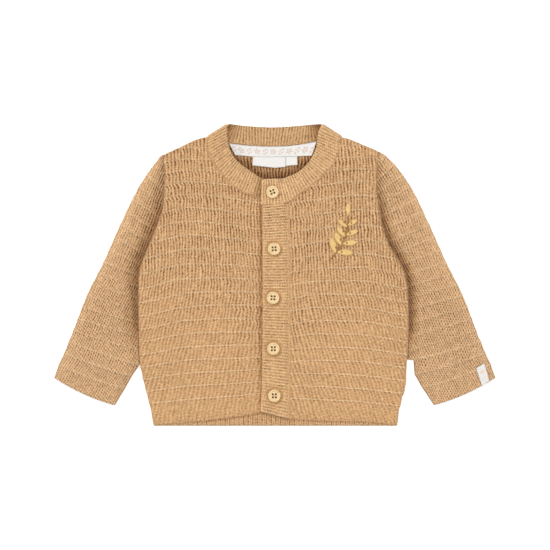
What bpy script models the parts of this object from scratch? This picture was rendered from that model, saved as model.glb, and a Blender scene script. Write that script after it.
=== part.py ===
"""A baby's button-front cardigan, knitted with raised welts, laid flat on its back.

Metres, +Z up. The front faces up, the neck is towards +Y and the origin lies on the surface under
the middle of the garment. Left and right are the wearer's, so the wearer's left is at +X.
The tables hold millimetres: a height is measured along Y, and an offset is measured outwards
from the middle line, so that one table serves a side wherever that side lies.
"""

import math
from typing import NamedTuple

import bmesh
import bpy
import numpy as np

MM = 0.001

# Thickness of the knit and how the layers lie on each other (mm).
WALL = 2.0
GAP = 0.3
FRONT_FLOOR = WALL + GAP              # the fronts lie on the back
FRONT_TOP = FRONT_FLOOR + WALL
BAND_FLOOR = FRONT_TOP + 0.45         # the button band lies on the under band
WELT_RISE = 0.8                       # a welt stands this far out of the knit
WELT_HALF = 0.13                      # half a welt's width, in welt spacings
HEM_TOP = 0.14                        # the hem's edge is rounded over this much of a spacing
RIB_RISE = 0.6
RIBS_FROM, RIBS_TO = 0.12, 0.9        # the part of a band's width over which its ribs stand out
BAND_RIB_PITCH = 2.45                 # neckband
FRONT_RIB_PITCH = 2.6                 # button band

# Buttons: 18 lines across, with four sewing holes.
BUTTON_DIAMETER = 11.5
BUTTON_THICKNESS = 2.2
HOLE_DIAMETER = 1.5
HOLE_SPACING = 2.6
BUTTON_SIDES = 20
HOLE_SIDES = 6

YARN = (0.60, 0.36, 0.18)
RIB_YARN = (0.62, 0.37, 0.19)
SHELL = (0.88, 0.70, 0.42)
WHITE = (0.85, 0.80, 0.74)


class EdgeRow(NamedTuple):
    """One point of an edge that runs down the garment."""

    height: float
    offset: float


class Course(NamedTuple):
    """The height of one welt where it crosses four upright lines of a front."""

    welt: float
    at_band: float
    at_chest: float
    at_flank: float
    at_seam: float


class SleeveRow(NamedTuple):
    """One section of a sleeve: its folded outer edge and its edge beside the body."""

    welt: float
    outer_offset: float
    outer_height: float
    inner_offset: float
    inner_height: float


class BandRow(NamedTuple):
    """One station of a ribbed band: its free edge, its sewn edge and the floor under it."""

    free_x: float
    free_y: float
    seam_x: float
    seam_y: float
    floor: float


COURSE_OFFSETS = (16.0, 41.0, 77.0, 118.0)

# The right front and the right side of the back.
RIGHT_SIDE = (
    EdgeRow(125.5, 61.7),
    EdgeRow(122.8, 71.7),
    EdgeRow(117.3, 83.5),
    EdgeRow(111.8, 95.3),
    EdgeRow(108.5, 101.0),
    EdgeRow(88.7, 100.1),
    EdgeRow(62.7, 101.3),
    EdgeRow(50.0, 105.3),
    EdgeRow(29.0, 113.5),
    EdgeRow(10.4, 121.0),
    EdgeRow(-3.7, 124.0),
    EdgeRow(-68.3, 123.5),
    EdgeRow(-79.3, 122.6),
    EdgeRow(-101.1, 118.1),
    EdgeRow(-122.9, 112.6),
    EdgeRow(-133.5, 110.9),
    EdgeRow(-137.2, 108.0),
)
RIGHT_COURSES = (
    Course(-1.7, -126.0, -129.9, -133.9, -137.2),
    Course(0.0, -107.7, -110.2, -112.7, -117.2),
    Course(4.0, -63.3, -63.7, -65.0, -72.0),
    Course(8.0, -15.6, -14.7, -16.0, -24.7),
    Course(12.0, 30.4, 33.6, 36.7, 28.1),
    Course(16.0, 77.7, 82.0, 85.0, 76.3),
    Course(19.0, 111.8, 115.5, 115.9, 111.8),
    Course(21.0, 136.0, 139.0, 139.7, 136.0),
)

# The left front and the left side of the back.
LEFT_SIDE = (
    EdgeRow(125.5, 61.5),
    EdgeRow(122.8, 69.4),
    EdgeRow(117.3, 82.1),
    EdgeRow(111.3, 94.3),
    EdgeRow(102.7, 93.2),
    EdgeRow(81.1, 92.4),
    EdgeRow(63.0, 94.5),
    EdgeRow(43.6, 98.0),
    EdgeRow(25.4, 104.9),
    EdgeRow(3.1, 117.5),
    EdgeRow(-14.3, 121.0),
    EdgeRow(-42.0, 121.7),
    EdgeRow(-72.9, 121.8),
    EdgeRow(-79.3, 120.6),
    EdgeRow(-95.6, 118.5),
    EdgeRow(-117.5, 114.9),
    EdgeRow(-133.5, 111.6),
    EdgeRow(-137.2, 108.8),
)
LEFT_COURSES = (
    Course(-1.7, -131.1, -132.7, -133.4, -137.2),
    Course(0.0, -111.8, -113.0, -114.9, -119.1),
    Course(4.0, -67.2, -65.4, -66.2, -72.0),
    Course(8.0, -20.6, -17.0, -17.4, -24.2),
    Course(12.0, 26.8, 30.2, 32.5, 26.3),
    Course(16.0, 78.6, 81.8, 85.5, 80.0),
    Course(19.0, 114.6, 116.4, 118.2, 115.5),
    Course(21.0, 138.0, 140.0, 142.0, 139.0),
)
TOP_WELT = 19
ABOVE_TOP_WELT = 0.85    # the fronts go on this many welt spacings above the last welt
SLOPED_FROM = 14         # from this welt up the edges slope, so more rows of points follow them
FULL_WIDTH = 16.0        # a front narrower than this has its rounded edges drawn in with it
SIDE_POINTS = 60         # points down each side of the back
BAND_CLEARANCE = 0.55    # between the neckband's sewn edge and the fronts
SEAM_LIP = 1.1           # the back's corners reach this far past the ends of its neck edge

# The sleeves from the cuff to the shoulder. An inner offset of 0 lies against the body.
SLEEVE = (
    SleeveRow(3.0, 182.9, -50.1, 0.0, -68.3),
    SleeveRow(6.0, 170.8, -18.7, 0.0, -31.9),
    SleeveRow(9.0, 155.6, 11.7, 0.0, -0.5),
    SleeveRow(12.0, 140.4, 45.7, 0.0, 29.9),
    SleeveRow(15.0, 123.3, 80.4, 0.0, 63.6),
)
RIGHT_SHOULDER = (
    SleeveRow(17.0, 109.4, 100.9, 0.0, 85.4),
    SleeveRow(18.0, 104.6, 106.9, 0.0, 96.0),
    SleeveRow(18.6, 103.2, 108.3, 0.0, 102.0),
)
LEFT_SHOULDER = (
    SleeveRow(17.0, 108.3, 100.9, 0.0, 85.4),
    SleeveRow(18.0, 99.9, 109.0, 0.0, 97.3),
    SleeveRow(18.6, 96.6, 111.0, 0.0, 104.0),
)
RIGHT_CUFF = (
    SleeveRow(-1.15, 200.7, -93.5, 145.4, -118.5),
    SleeveRow(0.0, 196.1, -81.1, 135.8, -102.9),
    SleeveRow(1.0, 191.4, -71.1, 129.9, -92.0),
    SleeveRow(2.0, 187.1, -60.3, 123.0, -81.6),
)
LEFT_CUFF = (
    SleeveRow(-1.15, 200.7, -93.5, 144.6, -118.4),
    SleeveRow(0.0, 196.1, -81.1, 133.5, -102.0),
    SleeveRow(1.0, 191.4, -71.1, 127.0, -90.2),
    SleeveRow(2.0, 187.1, -60.3, 126.2, -77.4),
    SleeveRow(2.2, 186.1, -58.4, 0.0, -75.2),
)
ARMPIT_WELT = 9.0
SLEEVE_TOP_WELT = 18.6
FULL_SLEEVE = 20.0       # a sleeve narrower than this has its rounded edges drawn in with it
CUFF_BOW = 2.6           # how far the cuff's edge bows out at its middle
SLEEVE_FULLNESS = 0.4    # the middle of a sleeve stands this much higher than its sides
SEAM_DIP = 0.7           # how far the top layer sinks towards the body
SLEEVE_CLEARANCE = 0.6   # between a sleeve and the body

# The neckband: from under the button band round the right front, the back neck and the left front.
RIGHT_BAND = (
    BandRow(-3.0, 86.4, -3.2, 66.6, FRONT_FLOOR),
    BandRow(2.5, 86.6, 2.5, 67.2, FRONT_FLOOR),
    BandRow(11.4, 87.8, 15.7, 70.9, FRONT_FLOOR),
    BandRow(21.0, 93.6, 28.0, 75.2, FRONT_FLOOR),
    BandRow(31.4, 101.0, 42.5, 85.4, FRONT_FLOOR),
    BandRow(38.5, 109.3, 52.4, 97.3, FRONT_FLOOR),
    BandRow(42.4, 119.5, 58.8, 108.2, FRONT_FLOOR),
    BandRow(43.2, 127.9, 61.4, 118.7, FRONT_FLOOR),
    BandRow(43.0, 137.2, 61.5, 125.6, FRONT_FLOOR),
)
BACK_BAND = (
    BandRow(-43.0, 137.2, -61.5, 125.6, 0.0),
    BandRow(-40.7, 137.0, -55.0, 122.6, 0.0),
    BandRow(-35.3, 136.3, -42.0, 119.9, 0.0),
    BandRow(-24.5, 135.1, -24.5, 117.8, 0.0),
    BandRow(-2.7, 134.0, -4.0, 116.9, 0.0),
    BandRow(19.1, 135.1, 16.0, 117.6, 0.0),
    BandRow(31.2, 136.3, 31.2, 120.4, 0.0),
    BandRow(39.4, 136.9, 50.0, 123.6, 0.0),
    BandRow(43.0, 137.2, 61.3, 125.6, 0.0),
)
LEFT_BAND = (
    BandRow(43.0, 137.2, 61.3, 125.6, FRONT_FLOOR),
    BandRow(39.3, 127.9, 58.5, 120.0, FRONT_FLOOR),
    BandRow(38.7, 119.2, 57.4, 110.9, FRONT_FLOOR),
    BandRow(35.7, 110.5, 52.1, 99.5, FRONT_FLOOR),
    BandRow(30.4, 101.8, 43.0, 90.0, FRONT_FLOOR),
    BandRow(21.7, 93.9, 31.2, 79.5, FRONT_FLOOR),
    BandRow(13.4, 89.8, 20.7, 72.5, FRONT_FLOOR),
    BandRow(6.0, 87.3, 11.6, 65.9, BAND_FLOOR),
    BandRow(-3.0, 87.1, -1.1, 63.6, BAND_FLOOR),
    BandRow(-12.0, 86.6, -13.0, 63.4, BAND_FLOOR),
)
END_ROUNDING = 2.6       # the corner of the neckband's end
END_SLICES = 4           # stations that round it
TURN_SLICES = 4          # steps of the neckband's turn over at each shoulder
TURN_INSET = 1.8         # the turn starts this far inside the outline
TURN_SKIPS = 2           # stations of the back left out at each turn

BUTTON_BAND = (
    BandRow(-11.4, 62.6, 12.4, 64.0, 0.0),
    BandRow(-11.2, -22.8, 13.9, -23.3, 0.0),
    BandRow(-11.8, -95.6, 14.2, -99.3, 0.0),
    BandRow(-13.2, -124.2, 14.2, -131.3, 0.0),
)
BAND_STEP = 0.24         # the share of its width over which the button band comes down to the front
BAND_SHOULDER = 0.93     # from this share of its width on, its free edge is rounded off

UNDER_BAND = ((-8.9, 62.4), (7.4, 62.4), (7.4, -122.0), (-8.9, -122.0))

# x, y and the turn of each button, top to bottom.
BUTTONS = (
    (-2.1, 75.3, 22.0),
    (-0.6, 23.7, 4.0),
    (-1.6, -20.8, -3.0),
    (-1.3, -67.0, 0.0),
    (-0.4, -109.7, 2.0),
)

# Outlines of what is sewn on, clear of the neckband's edges.
NECK_TAPE = (
    (-41.3, 119.2), (-24.5, 117.3), (-7.0, 116.4), (10.2, 116.8), (27.8, 119.0), (37.8, 120.8),
    (33.6, 108.4), (20.8, 107.8), (-4.0, 107.3), (-19.2, 107.5), (-36.0, 108.9),
)
NECK_LABEL = ((-19.6, 107.1), (-4.0, 106.9), (9.7, 106.9), (9.6, 98.2), (0.0, 97.3), (-20.4, 99.6))
SIZE_LABEL = ((10.3, 106.9), (20.3, 107.3), (20.8, 100.0), (10.3, 99.1))
LABEL_THICKNESS = 0.6
CUFF_LABEL = ((182.9, -84.8), (190.3, -80.4), (195.0, -96.2), (188.3, -101.0))


def slopes(x, y):
    """Slopes of a curve through the points that never swings past them."""
    rise = np.diff(y) / np.diff(x)
    product = rise[:-1] * rise[1:]
    total = np.where(product > 0, rise[:-1] + rise[1:], 1.0)
    middle = np.where(product > 0, 2 * product / total, 0.0)
    return np.concatenate([rise[:1], middle, rise[-1:]])


def through(x, y, at):
    """The smooth curve through points in rising order of x, read at `at`, flat beyond its ends."""
    x, y = np.asarray(x, float), np.asarray(y, float)
    slope = slopes(x, y)
    at = float(np.clip(at, x[0], x[-1]))
    i = min(max(int(np.searchsorted(x, at)) - 1, 0), len(x) - 2)
    span = x[i + 1] - x[i]
    t = (at - x[i]) / span
    return float(
        y[i] * (1 + 2 * t) * (1 - t) ** 2
        + slope[i] * span * t * (1 - t) ** 2
        + y[i + 1] * t * t * (3 - 2 * t)
        + slope[i + 1] * span * t * t * (t - 1)
    )


def column(rows, name):
    """One named column of a table."""
    return [getattr(row, name) for row in rows]


def edge_offset(rows, height):
    """Where an edge that runs down the garment lies at this height."""
    return through([-row.height for row in rows], column(rows, "offset"), -height)


def course_height(courses, welt, offset):
    """The height of a welt, whole or part, at this distance from the middle line."""
    welts = column(courses, "welt")
    heights = [through(welts, column(courses, name), welt) for name in Course._fields[1:]]
    return through(COURSE_OFFSETS, heights, offset)


def meet(courses, welt, edge):
    """The offset at which a welt meets an edge, found by going back and forth between them."""
    offset = 60.0
    for _ in range(40):
        offset = 0.5 * (offset + edge(course_height(courses, welt, offset)))
    return offset


def new_object(name, mesh_data, color, roughness=0.9):
    """A solid from a bmesh, with its own material."""
    bmesh.ops.recalc_face_normals(mesh_data, faces=mesh_data.faces)
    mesh = bpy.data.meshes.new(name)
    mesh_data.to_mesh(mesh)
    mesh_data.free()
    material = bpy.data.materials.new(name)
    material.use_nodes = True
    shader = material.node_tree.nodes["Principled BSDF"]
    shader.inputs["Base Color"].default_value = (*color, 1)
    shader.inputs["Roughness"].default_value = roughness
    shader.inputs["Metallic"].default_value = 0.0
    mesh.materials.append(material)
    solid = bpy.data.objects.new(name, mesh)
    bpy.context.scene.collection.objects.link(solid)
    return solid


def join_flat_faces(mesh_data):
    """Merges the faces of each plain, flat side, so that points stay only where the form needs them."""
    bmesh.ops.dissolve_limit(
        mesh_data,
        angle_limit=math.radians(0.05),
        verts=mesh_data.verts,
        edges=mesh_data.edges,
    )


def add_grid(mesh_data, points):
    """Vertices for rows of millimetre points."""
    return [[mesh_data.verts.new([c * MM for c in point]) for point in row] for row in points]


def quads(mesh_data, first, second):
    """Faces between two rows of vertices."""
    for a, b, c, d in zip(first, first[1:], second[1:], second):
        mesh_data.faces.new((a, b, c, d))


def panel_solid(name, top, floor, color):
    """A wall between rows of top points and one flat floor under them."""
    mesh_data = bmesh.new()
    upper = add_grid(mesh_data, top)
    lower = add_grid(mesh_data, [[(x, y, floor) for x, y, _ in row] for row in top])
    for rows in (upper, lower):
        for first, second in zip(rows, rows[1:]):
            quads(mesh_data, first, second)
    for a, b in ((upper[0], lower[0]), (upper[-1], lower[-1])):
        quads(mesh_data, a, b)
    for side in (0, -1):
        quads(mesh_data, [row[side] for row in upper], [row[side] for row in lower])
    join_flat_faces(mesh_data)
    return new_object(name, mesh_data, color)


def ring_solid(name, sections, color):
    """A solid through closed sections of equally many points, with both ends closed."""
    mesh_data = bmesh.new()
    rows = add_grid(mesh_data, sections)
    for first, second in zip(rows, rows[1:]):
        quads(mesh_data, [*first, first[0]], [*second, second[0]])
    mesh_data.faces.new(rows[0])
    mesh_data.faces.new(reversed(rows[-1]))
    join_flat_faces(mesh_data)
    return new_object(name, mesh_data, color)


def slab_solid(name, outline, floor, thickness, color):
    """A flat piece of one thickness from its outline."""
    mesh_data = bmesh.new()
    lower, upper = (
        add_grid(mesh_data, [[(x, y, z) for x, y in outline]])[0]
        for z in (floor, floor + thickness)
    )
    quads(mesh_data, [*lower, lower[0]], [*upper, upper[0]])
    mesh_data.faces.new(lower)
    mesh_data.faces.new(reversed(upper))
    return new_object(name, mesh_data, color)


def welt_rows(last):
    """(position, share of the welt's rise) of each row of points from the first welt to this one."""
    rows = []
    for welt in range(last + 1):
        rows += [(welt - WELT_HALF, 0.0), (welt, 1.0), (welt + WELT_HALF, 0.0)]
    return rows


# ---------------------------------------------------------------- fronts and back

class Side(NamedTuple):
    """What differs between the wearer's left and right."""

    name: str
    sign: int
    outline: tuple
    courses: tuple
    cuff: tuple
    shoulder: tuple
    band: tuple
    band_edge: float      # where the front ends, under or beside the button band
    flat_width: float     # from that edge, the width over which the welts rise
    flat_rise: float      # the share of its height that a welt has there


RIGHT = Side(
    name="right",
    sign=-1,
    outline=RIGHT_SIDE,
    courses=RIGHT_COURSES,
    cuff=RIGHT_CUFF,
    shoulder=RIGHT_SHOULDER,
    band=RIGHT_BAND,
    band_edge=9.5,
    flat_width=3.8,
    flat_rise=0.2,
)
LEFT = Side(
    name="left",
    sign=1,
    outline=LEFT_SIDE,
    courses=LEFT_COURSES,
    cuff=LEFT_CUFF,
    shoulder=LEFT_SHOULDER,
    band=LEFT_BAND,
    band_edge=14.7,
    flat_width=1.5,
    flat_rise=0.6,
)


def beside_neckband(side):
    """A front's edge along the neckband, as offsets at falling heights, clear of the band."""
    seam = np.array([station[1] for station in band_stations(side.band, BAND_RIB_PITCH)])
    seam = seam[np.argsort(-seam[:, 1])]
    run = np.gradient(seam, axis=0)
    outwards = np.stack([-run[:, 1], run[:, 0]], axis=1)
    outwards /= np.hypot(*outwards.T)[:, None]
    return seam + BAND_CLEARANCE * outwards


def front(side):
    """A front: its rows of points follow the welts, from the hem up to the shoulder."""
    hem = side.courses[0].welt
    rows = [(hem, 0.0), (hem + HEM_TOP, 0.0), *welt_rows(TOP_WELT)]
    rows += [(welt + 0.5, 0.0) for welt in range(SLOPED_FROM, TOP_WELT + 1)]
    rows.append((TOP_WELT + ABOVE_TOP_WELT, 0.0))
    seam = beside_neckband(side)

    def inner_edge(height):
        return max(float(np.interp(-height, -seam[:, 1], seam[:, 0])), side.band_edge)

    def outer_edge(height):
        return edge_offset(side.outline, height)

    top = []
    for welt, rise in sorted(rows):
        inner = meet(side.courses, welt, inner_edge)
        outer = meet(side.courses, welt, outer_edge)
        width = outer - inner
        inset = min(1.0, width / FULL_WIDTH)
        edge = 0.3 if welt == hem else 0.0
        # Offset from the inner edge, height below the wall's top and share of the welt's rise.
        profile = [
            (0.0, 0.2, side.flat_rise),
            (side.flat_width * inset, 0.0, side.flat_rise),
            *((width * share, 0.0, 1.0) for share in (0.2, 0.4, 0.6, 0.8)),
            (width - 4.0 * inset, 0.0, 1.0),
            (width - 1.2 * inset, 0.3, 0.8),
            (width, 0.9, 0.3),
        ]
        row = []
        for across, drop, share in profile:
            offset = inner + across
            height = FRONT_TOP - max(drop, edge) + WELT_RISE * rise * share
            row.append((side.sign * offset, course_height(side.courses, welt, offset), height))
        top.append(row)
    return panel_solid(f"front_{side.name}", top, FRONT_FLOOR, YARN)


def back():
    """The back: a plain wall with a flat underside, from the hem to the seam under the neckband."""
    outline = []
    for side in (LEFT, RIGHT):
        heights = np.linspace(side.outline[1].height, side.outline[-1].height, SIDE_POINTS)
        edge = [(side.sign * edge_offset(side.outline, height), height) for height in heights]
        outline.append(edge)
    # The neck edge keeps clear of the neckband's sewn edge.
    neck = [(row.seam_x, row.seam_y - 0.5) for row in BACK_BAND[1:-1]]
    corners = [
        (row.seam_x + math.copysign(SEAM_LIP, row.seam_x), row.seam_y - 1.7)
        for row in (BACK_BAND[0], BACK_BAND[-1])
    ]
    loop = [corners[0], *neck, corners[1], *outline[0], *reversed(outline[1])]
    return slab_solid("back", loop, 0.0, WALL, YARN)


# ---------------------------------------------------------------- sleeves

def sleeve_ends(side, welt):
    """(inner offset, inner height, outer offset, outer height) of a sleeve's section."""
    rows = (*side.cuff, *SLEEVE, *side.shoulder)
    welts = column(rows, "welt")
    names = ("outer_offset", "outer_height", "inner_height")
    outer, height, inner_height = (through(welts, column(rows, name), welt) for name in names)
    free = float(np.interp(welt, welts, column(rows, "inner_offset")))
    beside = edge_offset(side.outline, inner_height) + SLEEVE_CLEARANCE
    return max(free, beside), inner_height, outer, height


def sleeve_point(side, welt, share):
    """Plan position on a sleeve's section, from the body (0) to the outer fold (1)."""
    inner, inner_height, outer, outer_height = sleeve_ends(side, welt)
    bow = CUFF_BOW * 4 * share * (1 - share) * through((-1.15, 4.0), (1.0, 0.0), welt)
    x = inner + (outer - inner) * share
    y = inner_height + (outer_height - inner_height) * share - bow
    return side.sign * x, y


def sleeve_sections(side, welt, rise):
    """The outer and the inner ring of one section, each from the top layer's inner edge round."""
    inner, inner_height, outer, outer_height = sleeve_ends(side, welt)
    width = math.hypot(outer - inner, outer_height - inner_height)
    inset = min(1.0, width / FULL_SLEEVE)
    is_open = welt >= ARMPIT_WELT
    dip = SEAM_DIP * through((0.0, 3.0, 12.0, 16.0), (0.0, 1.0, 1.0, 0.0), welt)
    top = FRONT_TOP + WELT_RISE * rise
    middle = FRONT_FLOOR - GAP / 2
    # Distance from the inner edge and height of each point of the outer ring.
    ring = (
        (0.0, FRONT_TOP - 0.6 - dip if is_open else middle),
        (1.2 * inset, FRONT_TOP - 0.6 - dip),
        (4.0 * inset, top - 0.8 * dip),
        (0.30 * width, top),
        (0.55 * width, top + SLEEVE_FULLNESS),
        (0.80 * width, top),
        (width - 5.0 * inset, top - 0.1),
        (width - 1.6 * inset, FRONT_TOP - 0.7),
        (width, middle),
        (width - 1.0 * inset, 0.0),
        (0.0 if is_open else 1.0 * inset, 0.0),
    )
    # The slit inside stops short of the outer fold and, below the armpit, of the inner one.
    near = 0.0 if is_open else 2.6 * inset
    far = width - 2.6 * inset
    lining = (
        (0.0, FRONT_FLOOR) if is_open else (2.1 * inset, middle),
        *((near + (far - near) * i / 6, FRONT_FLOOR) for i in range(7)),
        (width - 2.1 * inset, middle),
        (far, WALL),
        (near, WALL),
    )
    return [
        [(*sleeve_point(side, welt, across / width), height) for across, height in points]
        for points in (ring, lining)
    ]


def sleeve(side):
    """A sleeve: two layers joined at the folds, open at the cuff and along the armhole."""
    cuff = side.cuff[0].welt
    rows = [(cuff, 0.0), (cuff + HEM_TOP, 0.0), *welt_rows(18), (SLEEVE_TOP_WELT, 0.0)]
    mesh_data = bmesh.new()
    outer, lining = [], []
    for welt, rise in rows:
        sections = sleeve_sections(side, welt, rise)
        outer += add_grid(mesh_data, sections[:1])
        lining += add_grid(mesh_data, sections[1:])
    closed = [welt < ARMPIT_WELT for welt, _ in rows]
    for i in range(len(rows) - 1):
        for ring in (outer, lining):
            quads(mesh_data, ring[i], ring[i + 1])
            if closed[i + 1]:
                mesh_data.faces.new((ring[i][-1], ring[i][0], ring[i + 1][0], ring[i + 1][-1]))
        if closed[i + 1]:
            continue
        if closed[i]:
            mesh_data.faces.new((outer[i][-1], outer[i][0], lining[i][0], lining[i][-1]))
        for end in (0, -1):
            quads(mesh_data, (outer[i][end], outer[i + 1][end]), (lining[i][end], lining[i + 1][end]))
    quads(mesh_data, [*outer[0], outer[0][0]], [*lining[0], lining[0][0]])
    quads(mesh_data, outer[-1], lining[-1])
    join_flat_faces(mesh_data)
    return new_object(f"sleeve_{side.name}", mesh_data, YARN)


# ---------------------------------------------------------------- ribbed bands

def band_stations(rows, pitch, mirror=1):
    """(free edge, sewn edge, floor, rib share) at each groove and each crest of a ribbed band."""
    middle = np.array([((r.free_x + r.seam_x) / 2, (r.free_y + r.seam_y) / 2) for r in rows])
    length = np.concatenate([[0.0], np.cumsum(np.hypot(*np.diff(middle, axis=0).T))])
    ribs = round(length[-1] / pitch)
    stations = []
    for i in range(2 * ribs + 1):
        at = length[-1] * i / (2 * ribs)
        free_x, free_y, seam_x, seam_y, floor = (
            through(length, column(rows, name), at) for name in BandRow._fields
        )
        stations.append(((mirror * free_x, free_y), (mirror * seam_x, seam_y), floor, i % 2))
    return stations


def neckband_section(free, seam, floor, rib, pulled_in=0.0):
    """One section of the neckband that lies flat, its ribs up, its free edge `pulled_in` by a share."""
    def at(share):
        return [s + (f - s) * share for f, s in zip(free, seam)]

    tip, shoulder = 1.0 - pulled_in, RIBS_TO - pulled_in
    crest = floor + WALL + RIB_RISE * rib
    return [
        (*at(0.0), floor),
        (*at(0.0), floor + WALL - 0.2),
        (*at(RIBS_FROM), crest),
        (*at(shoulder), crest),
        (*at(tip), floor + WALL - 0.6),
        (*at(tip), floor),
        (*at(shoulder), floor),
        (*at(RIBS_FROM), floor),
    ]


def turn_sections(free, seam, sign):
    """Sections of the neckband as it turns down over a shoulder, from the front to the back."""
    along = np.subtract(free, seam) / math.dist(free, seam)
    outward = np.array((sign * abs(along[1]), abs(along[0])))
    free, seam = (np.array(point) - TURN_INSET * outward for point in (free, seam))
    middle = (FRONT_FLOOR + WALL) / 2
    radius, half = middle / 2, WALL / 2
    # Share of the width from the sewn edge, and distance from the middle of the wall.
    corners = (
        (0.0, -half), (0.0, half), (RIBS_FROM, half), (RIBS_TO, half),
        (1.0, half), (1.0, -half), (RIBS_TO, -half), (RIBS_FROM, -half),
    )
    sections = []
    for i in range(1, TURN_SLICES):
        angle = math.pi * i / TURN_SLICES
        section = []
        for share, out in corners:
            place = seam + (free - seam) * share + outward * (radius + out) * math.sin(angle)
            section.append((*place, middle + (radius + out) * math.cos(angle)))
        sections.append(section)
    return sections


def turned(section):
    """A flat section's points in the order they have once the band has turned over."""
    return [section[i] for i in (1, 0, 7, 6, 5, 4, 3, 2)]


def end_rounding(stations):
    """For each station, the share by which its free edge is pulled in to round the band's end."""
    pulls = [0.0] * len(stations)
    for i in range(END_SLICES + 1):
        at = len(stations) - 1 - END_SLICES + i
        free, seam = stations[at][:2]
        angle = math.pi / 2 * i / END_SLICES
        pulls[at] = END_ROUNDING * (1 - math.cos(angle)) / math.dist(free, seam)
    return pulls


def neckband():
    """The neckband, in one piece with ribs on its upper face all the way round."""
    right = band_stations(RIGHT_BAND, BAND_RIB_PITCH, mirror=-1)
    behind = band_stations(BACK_BAND, BAND_RIB_PITCH)[TURN_SKIPS:-TURN_SKIPS]
    left = band_stations(LEFT_BAND, BAND_RIB_PITCH)
    sections = [
        *(neckband_section(*station) for station in right[:-1]),
        *turn_sections(*right[-1][:2], sign=-1),
        *(turned(neckband_section(*station)) for station in behind),
        *reversed(turn_sections(*left[0][:2], sign=1)),
        *(neckband_section(*row, pull) for row, pull in zip(left[1:], end_rounding(left)[1:])),
    ]
    return ring_solid("neckband", sections, RIB_YARN)


def button_band():
    """The buttonhole band: ribs across it, raised over the under band and sewn to the left front."""
    sections = []
    for free, seam, _, rib in band_stations(BUTTON_BAND, FRONT_RIB_PITCH):
        def at(share, free=free, seam=seam):
            return [s + (f - s) * share for f, s in zip(free, seam)]

        crest = BAND_FLOOR + WALL + RIB_RISE * rib
        sections.append([
            (*at(0.0), FRONT_FLOOR),
            (*at(0.0), FRONT_TOP),
            (*at(BAND_STEP), crest),
            (*at(BAND_SHOULDER), crest),
            (*at(1.0), BAND_FLOOR + WALL - 0.5),
            (*at(1.0), BAND_FLOOR),
            (*at(BAND_STEP), BAND_FLOOR),
        ])
    return ring_solid("button_band", sections, RIB_YARN)


# ---------------------------------------------------------------- buttons

def button_profile():
    """(radius, height) round a button, from the middle of its back to the dish in its face."""
    radius, rim = BUTTON_DIAMETER / 2, BUTTON_THICKNESS
    return (
        (radius - 0.7, 0.0),
        (radius, 0.6),
        (radius, rim - 0.6),
        (radius - 0.5, rim),
        (radius - 1.3, rim),
        (radius - 2.1, rim - 0.6),
    )


def circle(radius, sides, x=0.0, y=0.0, height=0.0):
    """A ring of points."""
    return [
        (
            x + radius * math.cos(2 * math.pi * i / sides),
            y + radius * math.sin(2 * math.pi * i / sides),
            height,
        )
        for i in range(sides)
    ]


def button(number, x, y, turn):
    """A round button with a raised rim and four sewing holes."""
    rings = [circle(radius, BUTTON_SIDES, height=height) for radius, height in button_profile()]
    name = f"button_{number}"
    solid = ring_solid(name, rings, SHELL)
    mesh_data = bmesh.new()
    for sx, sy in ((1, 1), (-1, 1), (-1, -1), (1, -1)):
        place = (sx * HOLE_SPACING / 2, sy * HOLE_SPACING / 2)
        rows = add_grid(mesh_data, [
            circle(HOLE_DIAMETER / 2, HOLE_SIDES, *place, height)
            for height in (-1.0, BUTTON_THICKNESS + 1.0)
        ])
        quads(mesh_data, [*rows[0], rows[0][0]], [*rows[1], rows[1][0]])
        mesh_data.faces.new(rows[0])
        mesh_data.faces.new(reversed(rows[1]))
    holes = new_object(f"{name}_holes", mesh_data, SHELL)
    holes.hide_render = True
    holes.display_type = "WIRE"
    holes.parent = solid
    cut = solid.modifiers.new("holes", "BOOLEAN")
    cut.operation = "DIFFERENCE"
    cut.object = holes
    shader = solid.data.materials[0].node_tree.nodes["Principled BSDF"]
    shader.inputs["Roughness"].default_value = 0.35
    floor = BAND_FLOOR + WALL + RIB_RISE + GAP
    solid.location = (x * MM, y * MM, floor * MM)
    solid.rotation_euler = (0.0, 0.0, math.radians(turn))
    return solid


def main():
    for old in list(bpy.data.objects):
        bpy.data.objects.remove(old, do_unlink=True)
    back()
    for side in (RIGHT, LEFT):
        front(side)
        sleeve(side)
    neckband()
    button_band()
    slab_solid("under_band", UNDER_BAND, FRONT_FLOOR, WALL, RIB_YARN)
    for number, (x, y, turn) in enumerate(BUTTONS, 1):
        button(number, x, y, turn)
    for name, outline in (
        ("neck_tape", NECK_TAPE), ("neck_label", NECK_LABEL), ("size_label", SIZE_LABEL)
    ):
        slab_solid(name, outline, WALL + GAP, LABEL_THICKNESS, WHITE)
    slab_solid("cuff_label", CUFF_LABEL, FRONT_TOP + WELT_RISE + GAP, LABEL_THICKNESS, WHITE)


main()
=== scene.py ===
"""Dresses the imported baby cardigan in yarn, thread, buttons, tape and labels.

Each cloth solid gives way to a finely knitted wall laid out on the same tables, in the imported
model's own frame: +X is the wearer's left, +Y the neck, +Z up out of the front. Tables and sizes
are in millimetres. A height is measured along Y, an offset outwards from the middle line.
"""

import logging
import math
from dataclasses import dataclass, field
from enum import Enum
from typing import Callable, Iterable, NamedTuple, Sequence, Union

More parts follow.
